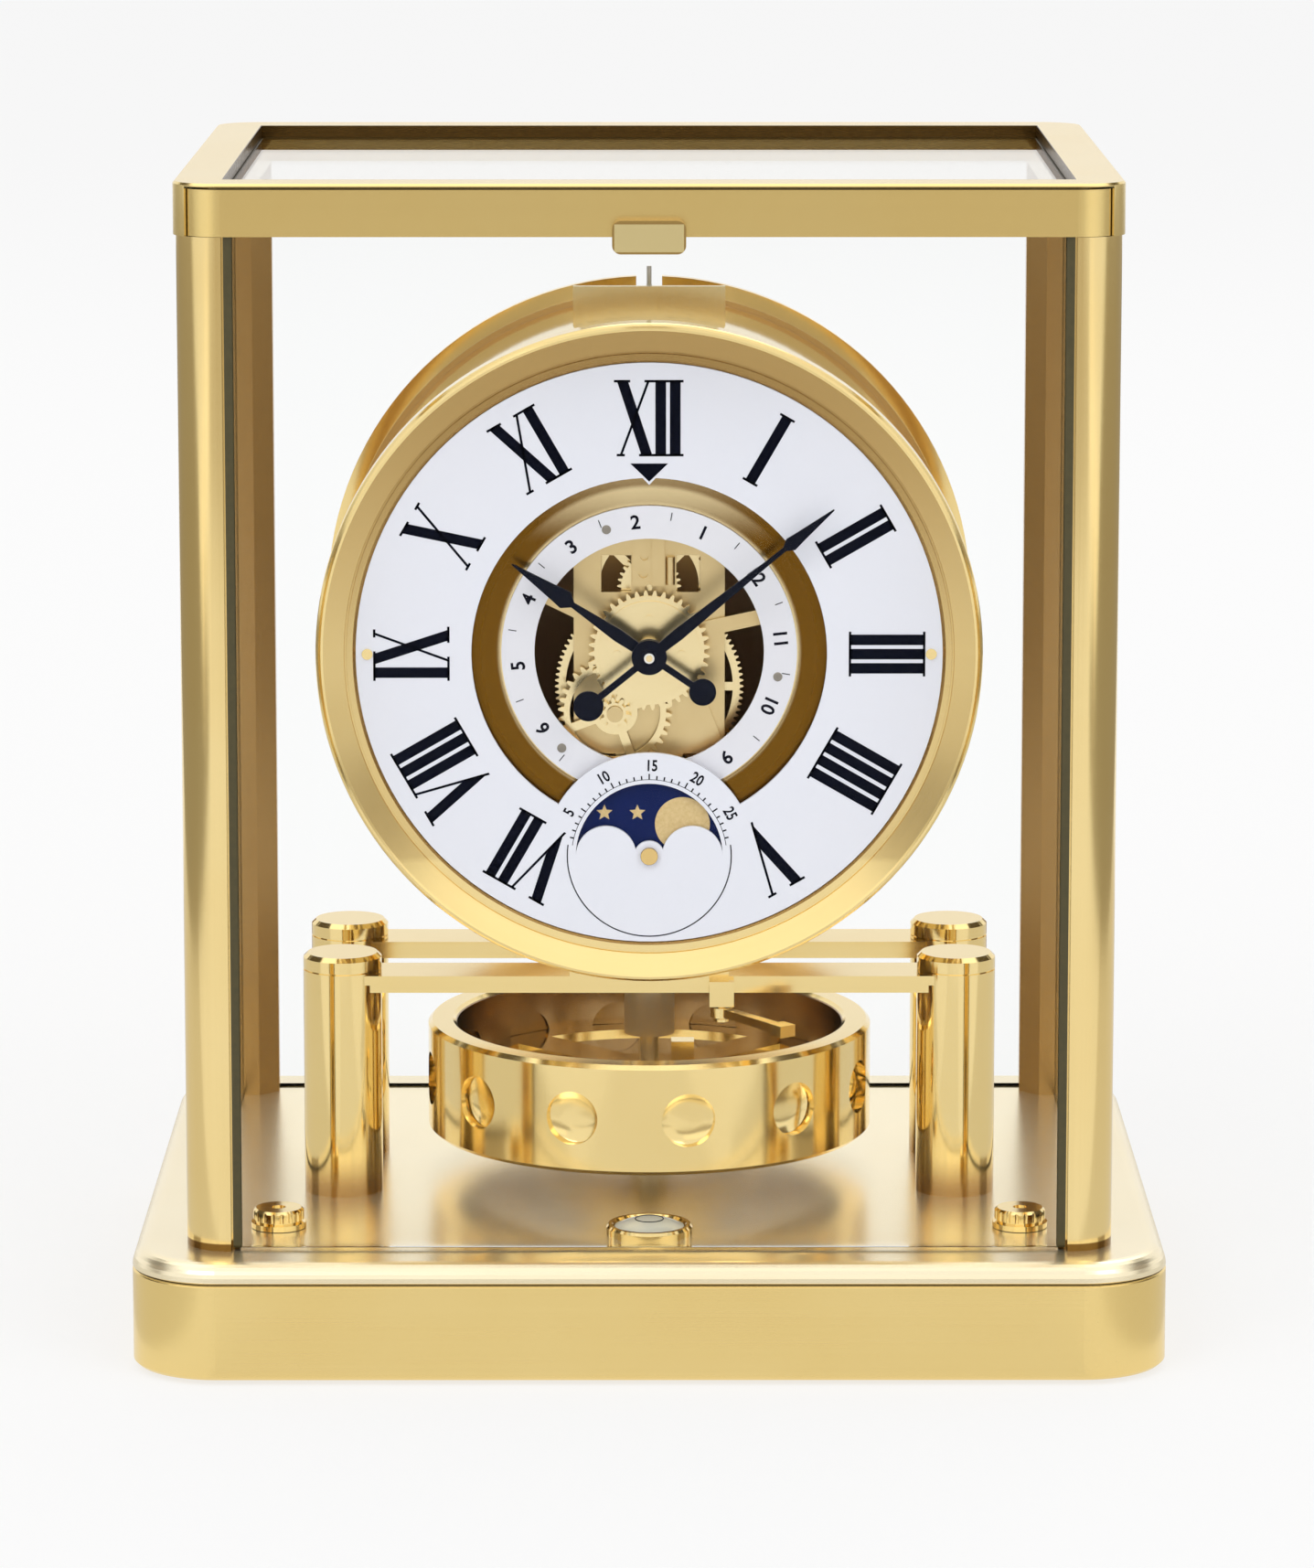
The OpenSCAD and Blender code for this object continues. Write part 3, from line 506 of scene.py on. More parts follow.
@dataclass(frozen=True)
class Paint(Finish):
    """Satin paint or gloss lacquer with a faint orange peel and a slow drift of tone.

    Args:
        tone: the first tone.
        drift: the tone that it drifts to.
        gloss: its roughness.
        coat: the weight of the clear coat on it.
        shine: how much it mirrors; 0.5 is plain paint.
        peel: the depth of the orange peel in metres.
        peel_scale: how many of its bumps there are to a metre.
        patch: how many patches of tone there are to a metre.
    """

    tone: Colour
    drift: Colour
    gloss: float
    coat: float = 0.0
    shine: float = 0.5
    peel: float = 0.000004
    peel_scale: float = 900.0
    patch: float = 45.0

    def build(self, bench: Bench) -> None:
        """Fills the node tree of the paint."""
        place = bench.place()
        cloud = bench.noise(place, self.patch, 3.0)
        peel = bench.noise(place, self.peel_scale)
        bench.surface(bench.coat({
            "Base Color": bench.blend(cloud, self.tone, self.drift),
            "Roughness": cloud * 0.06 + peel * 0.05 + self.gloss,
            "Specular IOR Level": self.shine, "Coat Weight": self.coat, "Coat Roughness": 0.06,
            "Normal": bench.bump(peel, 0.3, self.peel)}))


@dataclass(frozen=True)
class MoonDisc(Finish):
    """Enamel or lacquer round the head of a pin that faces the door.

    Args:
        blue: the paint round the pin.
        pin_z: the height of the pin in metres.
        pin_r: its radius in metres.
        pin: its tone.
        pin_deep: the tone that it drifts to.
        groove: the middle of the groove in it, as a share of its radius.
        groove_half: half the width of the groove, as a share too.
        groove_tone: the tone of the groove.
        groove_deep: the tone that it drifts to.
    """

    blue: Paint
    pin_z: float = 91.0 * MM
    pin_r: float = 2.4 * MM
    pin: Colour = (0.86, 0.62, 0.26)
    pin_deep: Colour = (0.78, 0.54, 0.21)
    groove: float = 0.74
    groove_half: float = 0.09
    groove_tone: Colour = (0.30, 0.17, 0.05)
    groove_deep: Colour = (0.22, 0.12, 0.03)

    def build(self, bench: Bench) -> None:
        """Fills the node tree of the disc with its pin."""
        place = bench.place()
        x, _, z = bench.split(place)
        cloud = bench.noise(place, 60.0)
        grit = bench.noise(place, 3000.0)
        enamel = bench.coat({
            "Base Color": bench.blend(cloud, self.blue.tone, self.blue.drift),
            "Roughness": grit * 0.06 + self.blue.gloss, "Specular IOR Level": self.blue.shine})
        metal = bench.coat({
            "Base Color": bench.blend(grit, self.pin, self.pin_deep), "Metallic": 1.0,
            "Roughness": grit * 0.1 + 0.2})
        far = reach(x, z - self.pin_z)
        groove = abs(far - self.pin_r * self.groove) < self.pin_r * self.groove_half
        dark = bench.coat({
            "Base Color": bench.blend(grit, self.groove_tone, self.groove_deep), "Metallic": 1.0,
            "Roughness": grit * 0.1 + 0.3})
        bench.surface(bench.layer(far < self.pin_r, enamel, bench.layer(groove, metal, dark)))


@dataclass(frozen=True)
class Liquid(Finish):
    """The liquid of the level under its domed glass.

    Args:
        tone: the first tone.
        drift: the tone that it drifts to.
        bend: its index of refraction.
        clear_share: how clear it is.
    """

    tone: Colour = (0.90, 0.92, 0.80)
    drift: Colour = (0.92, 0.94, 0.84)
    bend: float = 1.33
    clear_share: float = 0.35

    def build(self, bench: Bench) -> None:
        """Fills the node tree of the liquid."""
        cloud = bench.noise(bench.place(), 600.0)
        liquid = bench.coat({
            "Base Color": bench.blend(cloud, self.tone, self.drift),
            "Roughness": cloud * 0.03 + 0.01, "IOR": self.bend,
            "Transmission Weight": self.clear_share})
        bench.surface(bench.let_lamps_through(liquid, self.tone))


class Maker:
    """Models new pieces with Blender's own operators."""

    boldness: float = 0.022

    @staticmethod
    def idle() -> None:
        """Leaves edit mode and deselects everything."""
        if bpy.context.object is not None and bpy.context.object.mode != "OBJECT":
            bpy.ops.object.mode_set(mode="OBJECT")
        bpy.ops.object.select_all(action="DESELECT")

    @staticmethod
    def begin(name: str) -> bpy.types.Object:
        """An empty mesh object in edit mode, to which primitives are added.

        Args:
            name: the name of the piece.

        Returns:
            The object.
        """
        Maker.idle()
        piece = bpy.data.objects.new(name, bpy.data.meshes.new(name))
        bpy.context.scene.collection.objects.link(piece)
        bpy.context.view_layer.objects.active = piece
        piece.select_set(True)
        bpy.ops.object.mode_set(mode="EDIT")
        return piece

    @staticmethod
    def bar(centre: Sequence[float], size: Sequence[float], lean: float = 0.0) -> None:
        """Adds a bar to the mesh in edit mode, whose top leans to the right by some degrees."""
        bpy.ops.mesh.select_all(action="DESELECT")
        bpy.ops.mesh.primitive_cube_add(size=1, location=centre, rotation=(0, math.radians(lean), 0), scale=size)

    @staticmethod
    def pick(test: Callable[[Vector], bool], kind: str = "FACE") -> None:
        """Selects the faces or points of the mesh in edit mode whose middle passes a test.

        Args:
            test: says whether a point is wanted.
            kind: FACE or VERT.
        """
        bpy.ops.mesh.select_mode(type=kind)
        bpy.ops.mesh.select_all(action="DESELECT")
        shape = bmesh.from_edit_mesh(bpy.context.object.data)
        for part in shape.faces if kind == "FACE" else shape.verts:
            part.select_set(test(part.calc_center_median() if kind == "FACE" else part.co))
        shape.select_flush_mode()
        bmesh.update_edit_mesh(bpy.context.object.data)

    @staticmethod
    def trim(point: Sequence[float], outward: Sequence[float]) -> None:
        """Cuts away all that lies beyond a plane and closes the cut.

        Args:
            point: a point of the plane.
            outward: the direction that is cut away.
        """
        bpy.ops.mesh.select_mode(type="FACE")
        bpy.ops.mesh.select_all(action="SELECT")
        bpy.ops.mesh.bisect(plane_co=point, plane_no=outward, use_fill=True, clear_outer=True)

    @staticmethod
    def turn(angle: float, centre: Sequence[float]) -> None:
        """Turns the whole mesh in edit mode by some degrees, clockwise as seen from the door."""
        bpy.ops.mesh.select_all(action="SELECT")
        bpy.ops.transform.rotate(value=-math.radians(angle), orient_axis="Y", center_override=tuple(centre))

    @staticmethod
    def end(piece: bpy.types.Object, finish: Finish, body: str, slot: str) -> None:
        """Leaves edit mode and hands the piece its finish and body.

        Args:
            piece: the object that was modelled.
            finish: its finish.
            body: the body that it rides on.
            slot: not used.
        """
        if piece.mode == "EDIT":
            bpy.ops.mesh.select_all(action="SELECT")
            bpy.ops.mesh.normals_make_consistent(inside=False)
        Maker.idle()
        piece.select_set(True)
        bpy.context.view_layer.objects.active = piece
        bpy.ops.object.transform_apply(location=True, rotation=True, scale=True)
        bpy.ops.object.shade_smooth_by_angle(angle=SHARP_FROM)
        piece.data.materials.clear()
        piece.data.materials.append(finish.make())
        piece.select_set(False)
        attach(piece, body)
        LOG.info("%s rides on %s", piece.name, body)

    @staticmethod
    def number(name: str, words: str, height: float, thick: float) -> bpy.types.Object:
        """A number that stands upright in the plane of the dial round the origin, as a mesh in edit mode.

        Args:
            name: the name of the piece.
            words: the digits.
            height: the size of the type in metres.
            thick: its thickness in metres.

        Returns:
            The object.
        """
        Maker.idle()
        bpy.ops.object.text_add(location=(0, 0, 0), rotation=FACE_ON)
        text = bpy.context.object
        text.name = name
        text.data.body = words
        text.data.size = height
        text.data.align_x = "CENTER"
        text.data.align_y = "CENTER"
        text.data.extrude = thick / 2
        text.data.offset = height * Maker.boldness
        text.data.resolution_u = 3
        bpy.ops.object.convert(target="MESH")
        piece = bpy.context.object
        piece.data.name = name
        bpy.ops.object.transform_apply(location=True, rotation=True, scale=True)
        bpy.ops.object.mode_set(mode="EDIT")
        bpy.ops.mesh.select_all(action="SELECT")
        bpy.ops.mesh.remove_doubles(threshold=0.001 * MM)
        return piece

    @staticmethod
    def disc(centre: Sequence[float], radius: float, thick: float, sides: int = 48) -> None:
        """Adds a round disc that faces the door to the mesh in edit mode."""
        bpy.ops.mesh.select_all(action="DESELECT")
        bpy.ops.mesh.primitive_cylinder_add(
            vertices=sides, radius=radius, depth=thick, location=centre, rotation=FACE_ON)

    @staticmethod
    def hoop(centre: Sequence[float], outer: float, inner: float, thick: float, sides: int = 96) -> None:
        """Adds a flat ring that faces the door to the mesh in edit mode.

        Args:
            centre: its middle in metres.
            outer: its outer radius in metres.
            inner: its inner radius in metres.
            thick: its thickness in metres.
            sides: how many sides it has.
        """
        bpy.ops.mesh.select_all(action="DESELECT")
        front = (centre[0], centre[1] - thick / 2, centre[2])
        bpy.ops.mesh.primitive_circle_add(
            vertices=sides, radius=outer, location=front, rotation=FACE_ON)
        bpy.ops.mesh.extrude_edges_move()
        share = inner / outer
        bpy.ops.transform.resize(value=(share, share, share), center_override=front)
        bpy.ops.mesh.select_linked(delimit=set())
        bpy.ops.mesh.extrude_region_move(TRANSFORM_OT_translate={"value": (0, thick, 0)})


SEAM = 18.7 * MM
JOINT = 0.04 * MM
# Painted shadow: the dark line where the plinth meets the base top.
SEAM_SHADOW = (0.06, 0.035, 0.01)
# Painted shade inside the balance ring and on the inner ends of its plugs.
RING_SHADE = (0.44, 0.30, 0.16)
SATIN = {"tone": (0.90, 0.69, 0.29), "deep": (0.85, 0.62, 0.22)}
POLISHED = Brass("polished_brass", gloss=0.07, lines=0.03, grain=Grain.LATHE)
BARS = Brass("bar_brass", gloss=0.13, lines=0.06)
# The base top has the painted shadow line along its foot, at the seam.
BASE_TOP = Brass("base_top_brass", tone=(0.98, 0.87, 0.62), deep=(0.95, 0.82, 0.54), gloss=0.22, lines=0.06,
                 relief=0.000005, metal=0.86, brown=SEAM_SHADOW,
                 hollows=(Chamber(SEAM + 0.10 * MM + JOINT, SEAM + 0.10 * MM),))
# The columns are painted darker brown towards their feet: painted shade where they stand on the base.
COLUMN = Brass("column_brass", gloss=0.07, lines=0.03, grain=Grain.LATHE, brown=(0.42, 0.26, 0.11),
               hollows=(Chamber(31.0 * MM, 23.0 * MM, 70 * MM),))
TUBE = Brass("tube_brass", tone=(0.96, 0.84, 0.58), deep=(0.93, 0.78, 0.48), gloss=0.14, lines=0.03,
             grain=Grain.LATHE, metal=0.75)
# The front posts have a painted shadow line at their feet.
UPRIGHT = Brass("post_brass", gloss=0.11, lines=0.06, grain=Grain.UPRIGHT, brown=(0.22, 0.12, 0.03),
                hollows=(Chamber(23.9 * MM, 23.6 * MM),))
# The rear posts are painted brown over all but their rearmost part: painted shade.
REAR_UPRIGHT = Brass("rear_post_brass", gloss=0.13, lines=0.06, grain=Grain.UPRIGHT, brown=(0.52, 0.33, 0.13),
                     hollows=(Chamber(half_y=64.0 * MM),))
# The plinth has the painted shadow line along its top, at the seam.
PLINTH = Brass("plinth_brass", **SATIN, gloss=0.22, lines=0.12, relief=0.000002, brown=SEAM_SHADOW,
               hollows=(Chamber(SEAM - 0.14 * MM - JOINT, SEAM - 0.14 * MM),))
# The inner walls of the frame's opening are painted dark: painted shade.
TOP_FRAME = Brass("frame_brass", tone=(0.91, 0.72, 0.33), deep=(0.87, 0.66, 0.26), gloss=0.18, lines=0.10,
                  brown=(0.10, 0.055, 0.015), hollows=(Chamber(215.6 * MM, 215.7 * MM, 76.7 * MM, 58.2 * MM),))
# The header's top face is painted near black: painted shade under the frame.
HEADER = Brass("header_brass", **SATIN, gloss=0.20, lines=0.10, brown=(0.03, 0.02, 0.008),
               hollows=(Chamber(217.12 * MM, 217.12 * MM + JOINT),))
BLOCK = Brass("block_brass", tone=(0.78, 0.69, 0.44), deep=(0.66, 0.57, 0.34), gloss=0.2, lines=0.16,
              relief=0.000003, grain=Grain.UPRIGHT)
# Painted shade: the drum is brown and less metallic within the bezel, with brown lines beside the steps at its
# front and back.
DRUM = Brass("drum_brass", gloss=0.04, lines=0.03, relief=0.0000004, grain=Grain.ROUND_DIAL,
             sunk=0.5, brown=(0.62, 0.40, 0.15), hollows=(
                 Bore(radius=57.1 * MM), *(Chamber(half_y=1.3 * MM, middle_y=y * MM) for y in (26.0, -31.6))))
# The cover has a painted brown shade line at the step of its rear flange.
TURNED = Brass("turned_brass", gloss=0.12, lines=0.08, grain=Grain.ROUND_DIAL, brown=(0.80, 0.46, 0.14), sunk=0.5,
               hollows=(Chamber(half_y=0.5 * MM, middle_y=29.0 * MM),))
BEZEL_R = 60.1 * MM
# The bezel is painted darker brown towards its top and in full inside its inner edge: painted shade.
BEZEL = Brass("bezel_brass", gloss=0.12, lines=0.08, grain=Grain.ROUND_DIAL, brown=(0.42, 0.26, 0.09), hollows=(
    Bore(89.6 * MM, 91.2 * MM, BEZEL_R, share=0.30), Bore(116 * MM, 180 * MM, BEZEL_R, share=0.8),
    Bore(radius=54.7 * MM)))
# The month seat is painted darker brown below its top: painted reflection of the dark drum.
SEAT = Brass("seat_brass", tone=(0.92, 0.76, 0.45), deep=(0.80, 0.62, 0.32), gloss=0.14, lines=0.08,
             grain=Grain.ROUND_DIAL, brown=(0.19, 0.088, 0.009),
             hollows=(Bore(161 * MM, 149 * MM, 40 * MM, 27.2 * MM), Bore(178 * MM, 150 * MM, 40 * MM, 30.4 * MM)))
SPUN = Brass("spun_brass", gloss=0.09, lines=0.07, grain=Grain.ROUND_BALANCE)
# The ring is painted brown inside: painted shade.
RING = Brass("ring_brass", gloss=0.10, lines=0.07, grain=Grain.LATHE, brown=RING_SHADE,
             hollows=(Well(radius=37.2 * MM),))
# The plugs are painted brown at their inner ends: painted shade.
PLUG = Brass("plug_brass", gloss=0.12, lines=0.05, grain=Grain.UPRIGHT, brown=RING_SHADE,
             hollows=(Well(radius=38.0 * MM),))
GILT = Frosted("frosted_brass", tone=(0.84, 0.67, 0.37), deep=(0.72, 0.54, 0.26))
WHEEL = Brass("wheel_brass", tone=(0.95, 0.79, 0.46), deep=(0.90, 0.70, 0.34), gloss=0.17, lines=0.10,
              relief=0.000003, grain=Grain.ROUND_DIAL)
# A darker, warmer copy of the movement gilt for the rear parts: painted shade.
SHADED_GILT = Frosted("shaded_frosted_brass", tone=(0.90, 0.56, 0.20), deep=(0.78, 0.46, 0.14), gloss=0.26, metal=0.55)
BELLOWS = Frosted("bellows_brass", tone=(0.72, 0.42, 0.15), deep=(0.60, 0.34, 0.11), gloss=0.34, metal=0.30)
GROUND_STEEL = Steel("ground_steel")
RIVET = Steel("rivet_steel", tone=(0.36, 0.33, 0.29), gloss=0.3)
ENAMEL = Paint("dial_enamel", tone=(0.83, 0.85, 0.94), drift=(0.86, 0.87, 0.95), gloss=0.3, coat=0.1)
MONTH_ENAMEL = Paint("month_enamel", tone=(0.81, 0.81, 0.88), drift=(0.85, 0.85, 0.90), gloss=0.4)
NIGHT = Paint("night_blue_enamel", tone=(0.002, 0.009, 0.075), drift=(0.003, 0.014, 0.10), gloss=0.35, shine=0.12)
LACQUER = Paint("hand_lacquer", tone=(0.002, 0.003, 0.010), drift=(0.004, 0.006, 0.016), gloss=0.24, shine=0.10)
INK = Paint("dial_ink", tone=(0.002, 0.003, 0.009), drift=(0.003, 0.004, 0.012), gloss=0.5, peel=0.000002,
            shine=0.03)
FINE_INK = replace(INK, name="fine_ink", tone=(0.006, 0.006, 0.012), drift=(0.01, 0.01, 0.02))
GOLD_PAINT = Paint("moon_gold", tone=(0.60, 0.41, 0.15), drift=(0.82, 0.63, 0.32), gloss=0.38, peel=0.00001,
                   peel_scale=2600.0, patch=1900.0)
MOON_DISC = MoonDisc("moon_disc_enamel", NIGHT)
NUT = MoonDisc("nut_lacquer", LACQUER, pin_z=DIAL_Z, pin_r=0.95 * MM, pin=(0.96, 0.94, 0.90),
               pin_deep=(0.90, 0.87, 0.82), groove=0.0, groove_half=0.34, groove_tone=(0.01, 0.01, 0.01))
SPIRIT = Liquid("level_liquid")


def dress(nodes: dict, names: Iterable[str], finish: Finish) -> None:
    """Gives CAD nodes a finish.

    Args:
        nodes: the nodes of the frame by name.
        names: the nodes to dress.
        finish: their finish.
    """
    for name in names:
        nodes[name].data.materials.clear()
        nodes[name].data.materials.append(finish.make())
        LOG.info("%s is dressed in %s", name, finish.name)


@dataclass
class Studio:
    """The floor, the light and the camera.

    Args:
        camera_at: where the camera stands, in metres.
        pitch: how far it looks down, in degrees.
        yaw: how far it looks to the right, in degrees.
        lens: its focal length in millimetres.
        sensor: the width of its sensor in millimetres.
        shift: its upward shift.
        ambient: how much the world lights dull surfaces.
        floor_tone: the reflectance of the floor.
        floor_lift: the share of the floor's white that doesn't depend on light.
        floor_side: its side in metres.
        floor_z: its height, just under the feet.
    """

    camera_at: tuple[float, float, float] = (0.0, -1.200, 0.323)
    pitch: float = 8.981
    yaw: float = 0.071
    lens: float = 146.36
    sensor: float = 36.0
    shift: float = -0.12
    ambient: float = 0.80
    floor_tone: float = 0.93
    floor_lift: float = 0.7
    floor_side: float = 24.0
    floor_z: float = -0.2 * MM

    def camera(self) -> None:
        """Sets up the camera of the photograph."""
        data = bpy.data.cameras.new("camera")
        data.lens = self.lens
        data.sensor_width = self.sensor
        data.shift_y = self.shift
        data.clip_start = 0.05
        data.clip_end = 30
        seer = bpy.data.objects.new("camera", data)
        seer.location = self.camera_at
        seer.rotation_euler = (math.radians(90 - self.pitch), 0, -math.radians(self.yaw))
        bpy.context.scene.collection.objects.link(seer)
        bpy.context.scene.camera = seer

    def seen(self, bench: Bench) -> Wire:
        """One for rays from the eye, direct, mirrored or through glass."""
        path = bench.node("ShaderNodeLightPath").socket.node
        eye, mirrored, through = (
            Wire(bench, path.outputs[name]) for name in ("Is Camera Ray", "Is Glossy Ray", "Is Transmission Ray"))
        return eye.most(mirrored).most(through)

    def world(self) -> None:
        """A white world that lights dull surfaces at a plain level."""
        scene = bpy.context.scene
        scene.world = scene.world or bpy.data.worlds.new("world")
        bench = Bench(scene.world)
        soft, white = (bench.node("ShaderNodeBackground", {}, {"Color": WHITE, "Strength": strength})
                       for strength in (self.ambient, 1.0))
        bench.surface(bench.layer(self.seen(bench), soft, white))

    def floor(self) -> None:
        """A pale floor that keeps the shadow of the clock."""
        Maker.idle()
        bpy.ops.mesh.primitive_plane_add(size=self.floor_side, location=(0, 0, self.floor_z))
        ground = bpy.context.object
        ground.name = "floor"
        paint = bpy.data.materials.new("floor_paint")
        bench = Bench(paint)
        matt = bench.node("ShaderNodeBsdfDiffuse", {}, {"Color": (self.floor_tone,) * 3, "Roughness": 0.5})
        bench.surface(bench.layer(self.seen(bench) * self.floor_lift, matt, bench.glow(WHITE)))
        ground.data.materials.append(paint)

    def card(self, name: str, centre: Sequence[float], size: Sequence[float], turn: Sequence[float],
             tone: Colour) -> None:
        """A card that only shows as a soft shade in polished metal, also through the panes.

        Args:
            name: the name of the card.
            centre: its middle in metres.
            size: its width and height in metres.
            turn: its turn round X, Y and Z in degrees.
            tone: its colour.
        """
        Maker.idle()
        bpy.ops.mesh.primitive_plane_add(
            size=1, location=centre, rotation=tuple(math.radians(a) for a in turn))
        sheet = bpy.context.object
        sheet.name = name
        sheet.scale = (size[0], size[1], 1)
        shade = bpy.data.materials.new(name)
        bench = Bench(shade)
        mirrored = bench.node("ShaderNodeLightPath", out="Glossy Depth") > 0.5
        clear = bench.node("ShaderNodeBsdfTransparent")
        bench.surface(bench.layer(mirrored, clear, bench.glow(tone)))
        sheet.data.materials.append(shade)
        for hidden in ("visible_camera", "visible_diffuse", "visible_shadow"):
            setattr(sheet, hidden, False)

    def lamp(self, name: str, at: Sequence[float], aim: Sequence[float], size: float, power: float) -> None:
        """A square soft box.

        Args:
            name: the name of the lamp.
            at: where it hangs, in metres.
            aim: what it points at.
            size: its side in metres.
            power: its power in watts.
        """
        data = bpy.data.lights.new(name, "AREA")
        data.shape = "SQUARE"
        data.size = size
        data.energy = power
        box = bpy.data.objects.new(name, data)
        box.location = at
        box.rotation_euler = (Vector(aim) - Vector(at)).to_track_quat("-Z", "Y").to_euler()
        bpy.context.scene.collection.objects.link(box)

    def build(self) -> None:
        """Sets up the whole studio."""
        scene = bpy.context.scene
        scene.view_settings.view_transform = "Standard"
        self.camera()
        self.world()
        self.floor()
        cards = {
            "front_floor": ((0, -2.6, 0.0006), (1.3, 3.0), (0, 0, 0), (0.60, 0.55, 0.47)),
            "front_near": ((0, -0.20, 0.0004), (0.162, 0.24), (0, 0, 0), (0.86, 0.85, 0.83)),
            "behind_camera": ((0, -3.4, 0.30), (4.2, 0.5), (90, 0, 0), (0.50, 0.47, 0.42)),
            "high_soft_box": ((0, -3.4, 1.00), (3.0, 0.8), (90, 0, 0), (1.25, 1.22, 1.15)),
            "rear_soft_box": ((0, 3.2, 0.80), (3.4, 0.9), (90, 0, 0), (0.96, 0.95, 0.93)),
            "near_sky": ((0, 1.2, 1.20), (2.4, 0.8), (60, 0, 0), (1.15, 1.13, 1.08)),
            "ceiling": ((0, 0.35, 1.9), (2.6, 1.7), (0, 0, 0), (1.55, 1.50, 1.42)),
        }
        pairs = {
            "near": ((0.28, 0.10, 0.0004), (0.34, 0.50), (0, 0, 0), (0.74, 0.72, 0.68)),
            "high": ((1.5, 0.95, 1.60), (1.2, 1.4), (0, 90, 0), (0.10, 0.08, 0.05)),
            "floor": ((1.75, 0.6, 0.0006), (2.6, 2.6), (0, 0, 0), (0.36, 0.33, 0.27)),
            "strip": ((0.85, -1.2, 0.0008), (0.35, 1.2), (0, 0, 0), (1.30, 1.25, 1.15)),
            "card": ((1.5, 0.1, 0.75), (1.0, 0.8), (0, 90, 0), (0.22, 0.18, 0.13)),
        }
        for name, ((x, y, z), *rest) in pairs.items():
            cards[f"left_{name}"] = ((-x, y, z), *rest)
            cards[f"right_{name}"] = ((x, y, z), *rest)
        for name, (centre, size, turn, tone) in cards.items():
            self.card(name, centre, size, turn, tone)
        for name, at, height, size, power in (
                ("key_box", (-0.8, -1.3, 1.5), 0.12, 0.9, 5.0), ("fill_box", (1.0, -1.1, 1.2), 0.12, 0.8, 2.6),
                ("back_box", (0.2, 1.2, 1.3), 0.1, 0.9, 3.0)):
            self.lamp(name, at, (0, 0, height), size, power)
        LOG.info("the studio is lit")


@dataclass
class Base:
    """The base with its feet, levelling screws and bubble level.

    Args:
        mark_z: the height of the ring marked on the level.
        level_y: the place of the level, toward the door.
        mark_r: the radius of the ring.
        mark_half: half the thickness of its line.
    """

    mark_z: float = 24.89 * MM
    level_y: float = -52.0 * MM
    mark_r: float = 2.6 * MM
    mark_half: float = 0.09 * MM

    def mark(self) -> None:
        """Adds the ring that is marked on the level."""
        piece = Maker.begin("level_ring_mark")
        bpy.ops.mesh.primitive_torus_add(
            major_segments=48, minor_segments=8, location=(0, self.level_y, self.mark_z),
            major_radius=self.mark_r, minor_radius=self.mark_half)
        Maker.end(piece, INK, "case", "vial_glass")

    def build(self, nodes: dict) -> None:
        """Finishes the CAD pieces of the base and adds the mark."""
        dress(nodes, ["base_plinth"], PLINTH)
        dress(nodes, ["base_top"], BASE_TOP)
        dress(nodes, ["levelling_left", "levelling_right", "level_housing"], POLISHED)
        dress(nodes, ["foot_front_left", "foot_front_right", "foot_rear"], GROUND_STEEL)
        dress(nodes, ["level_vial"], SPIRIT)
        self.mark()


@dataclass
class Cabinet:
    """The posts, the top frame and the panes.

    Args:
        floor_z: the height of the base's top.
        pane_x: half the width of the rear pane.
        side_y: half the width of the side panes.
        top_x: half the width of the top pane.
        top_y: half its depth.
        ground: the width of the painted dark bands along the panes' edges.
    """

    floor_z: float = 22.4 * MM
    pane_x: float = 76.5 * MM
    side_y: float = 58.0 * MM
    top_x: float = 76.4 * MM
    top_y: float = 57.9 * MM
    ground: float = 0.3 * MM

    def build(self, nodes: dict) -> None:
        """Finishes the posts, the frame and the fixed panes."""
        dress(nodes, ["post_front_left", "post_front_right"], UPRIGHT)
        dress(nodes, ["post_rear_left", "post_rear_right"], REAR_UPRIGHT)
        dress(nodes, ["top_frame"], TOP_FRAME)
        thin, low = self.ground, (2, self.floor_z, 0.2 * MM)
        side = Pane("side_pane", (*Pane.both(1, self.side_y, thin), low))
        rear = Pane("rear_pane", (*Pane.both(0, self.pane_x, thin), low))
        top = Pane("top_pane", (*Pane.both(0, self.top_x, thin), *Pane.both(1, self.top_y, thin)), 1.6)
        dress(nodes, ["glass_left", "glass_right"], side)
        dress(nodes, ["glass_rear"], rear)
        dress(nodes, ["top_glass"], top)


@dataclass
class Door:
    """The front pane with its header and tab.

    Args:
        pane_x: half the width of the pane.
        floor_z: the height of its foot.
        side_band: the width of the painted dark bands at its sides, painted shade where it meets the posts.
        foot_band: the width of the one at its foot.
    """

    pane_x: float = 76.1 * MM
    floor_z: float = 22.8 * MM
    side_band: float = 1.5 * MM
    foot_band: float = 0.15 * MM

    def build(self, nodes: dict) -> None:
        """Finishes the door."""
        pane = Pane("door_pane", (*Pane.both(0, self.pane_x, self.side_band), (2, self.floor_z, self.foot_band)))
        dress(nodes, ["door_glass"], pane)
        dress(nodes, ["door_header"], HEADER)
        low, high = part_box("door_tab")
        # The tab has a painted dark outline: painted shade along its edges.
        tab = Brass("tab_brass", tone=(0.96, 0.83, 0.46), deep=(0.92, 0.76, 0.36), gloss=0.16,
                    brown=(0.50, 0.34, 0.12), hollows=(Rim(half_x=high[0], foot=low[2], top=high[2]),))
        dress(nodes, ["door_tab"], tab)


class Bridge:
    """The columns, the bars on them and the locking lever."""

    def build(self, nodes: dict) -> None:
        """Finishes the columns, bars and lever."""
        dress(nodes, ["columns", "column_caps"], COLUMN)
        dress(nodes, ["beam_front", "beam_rear", "drum_saddles", "lock_lever"], BARS)


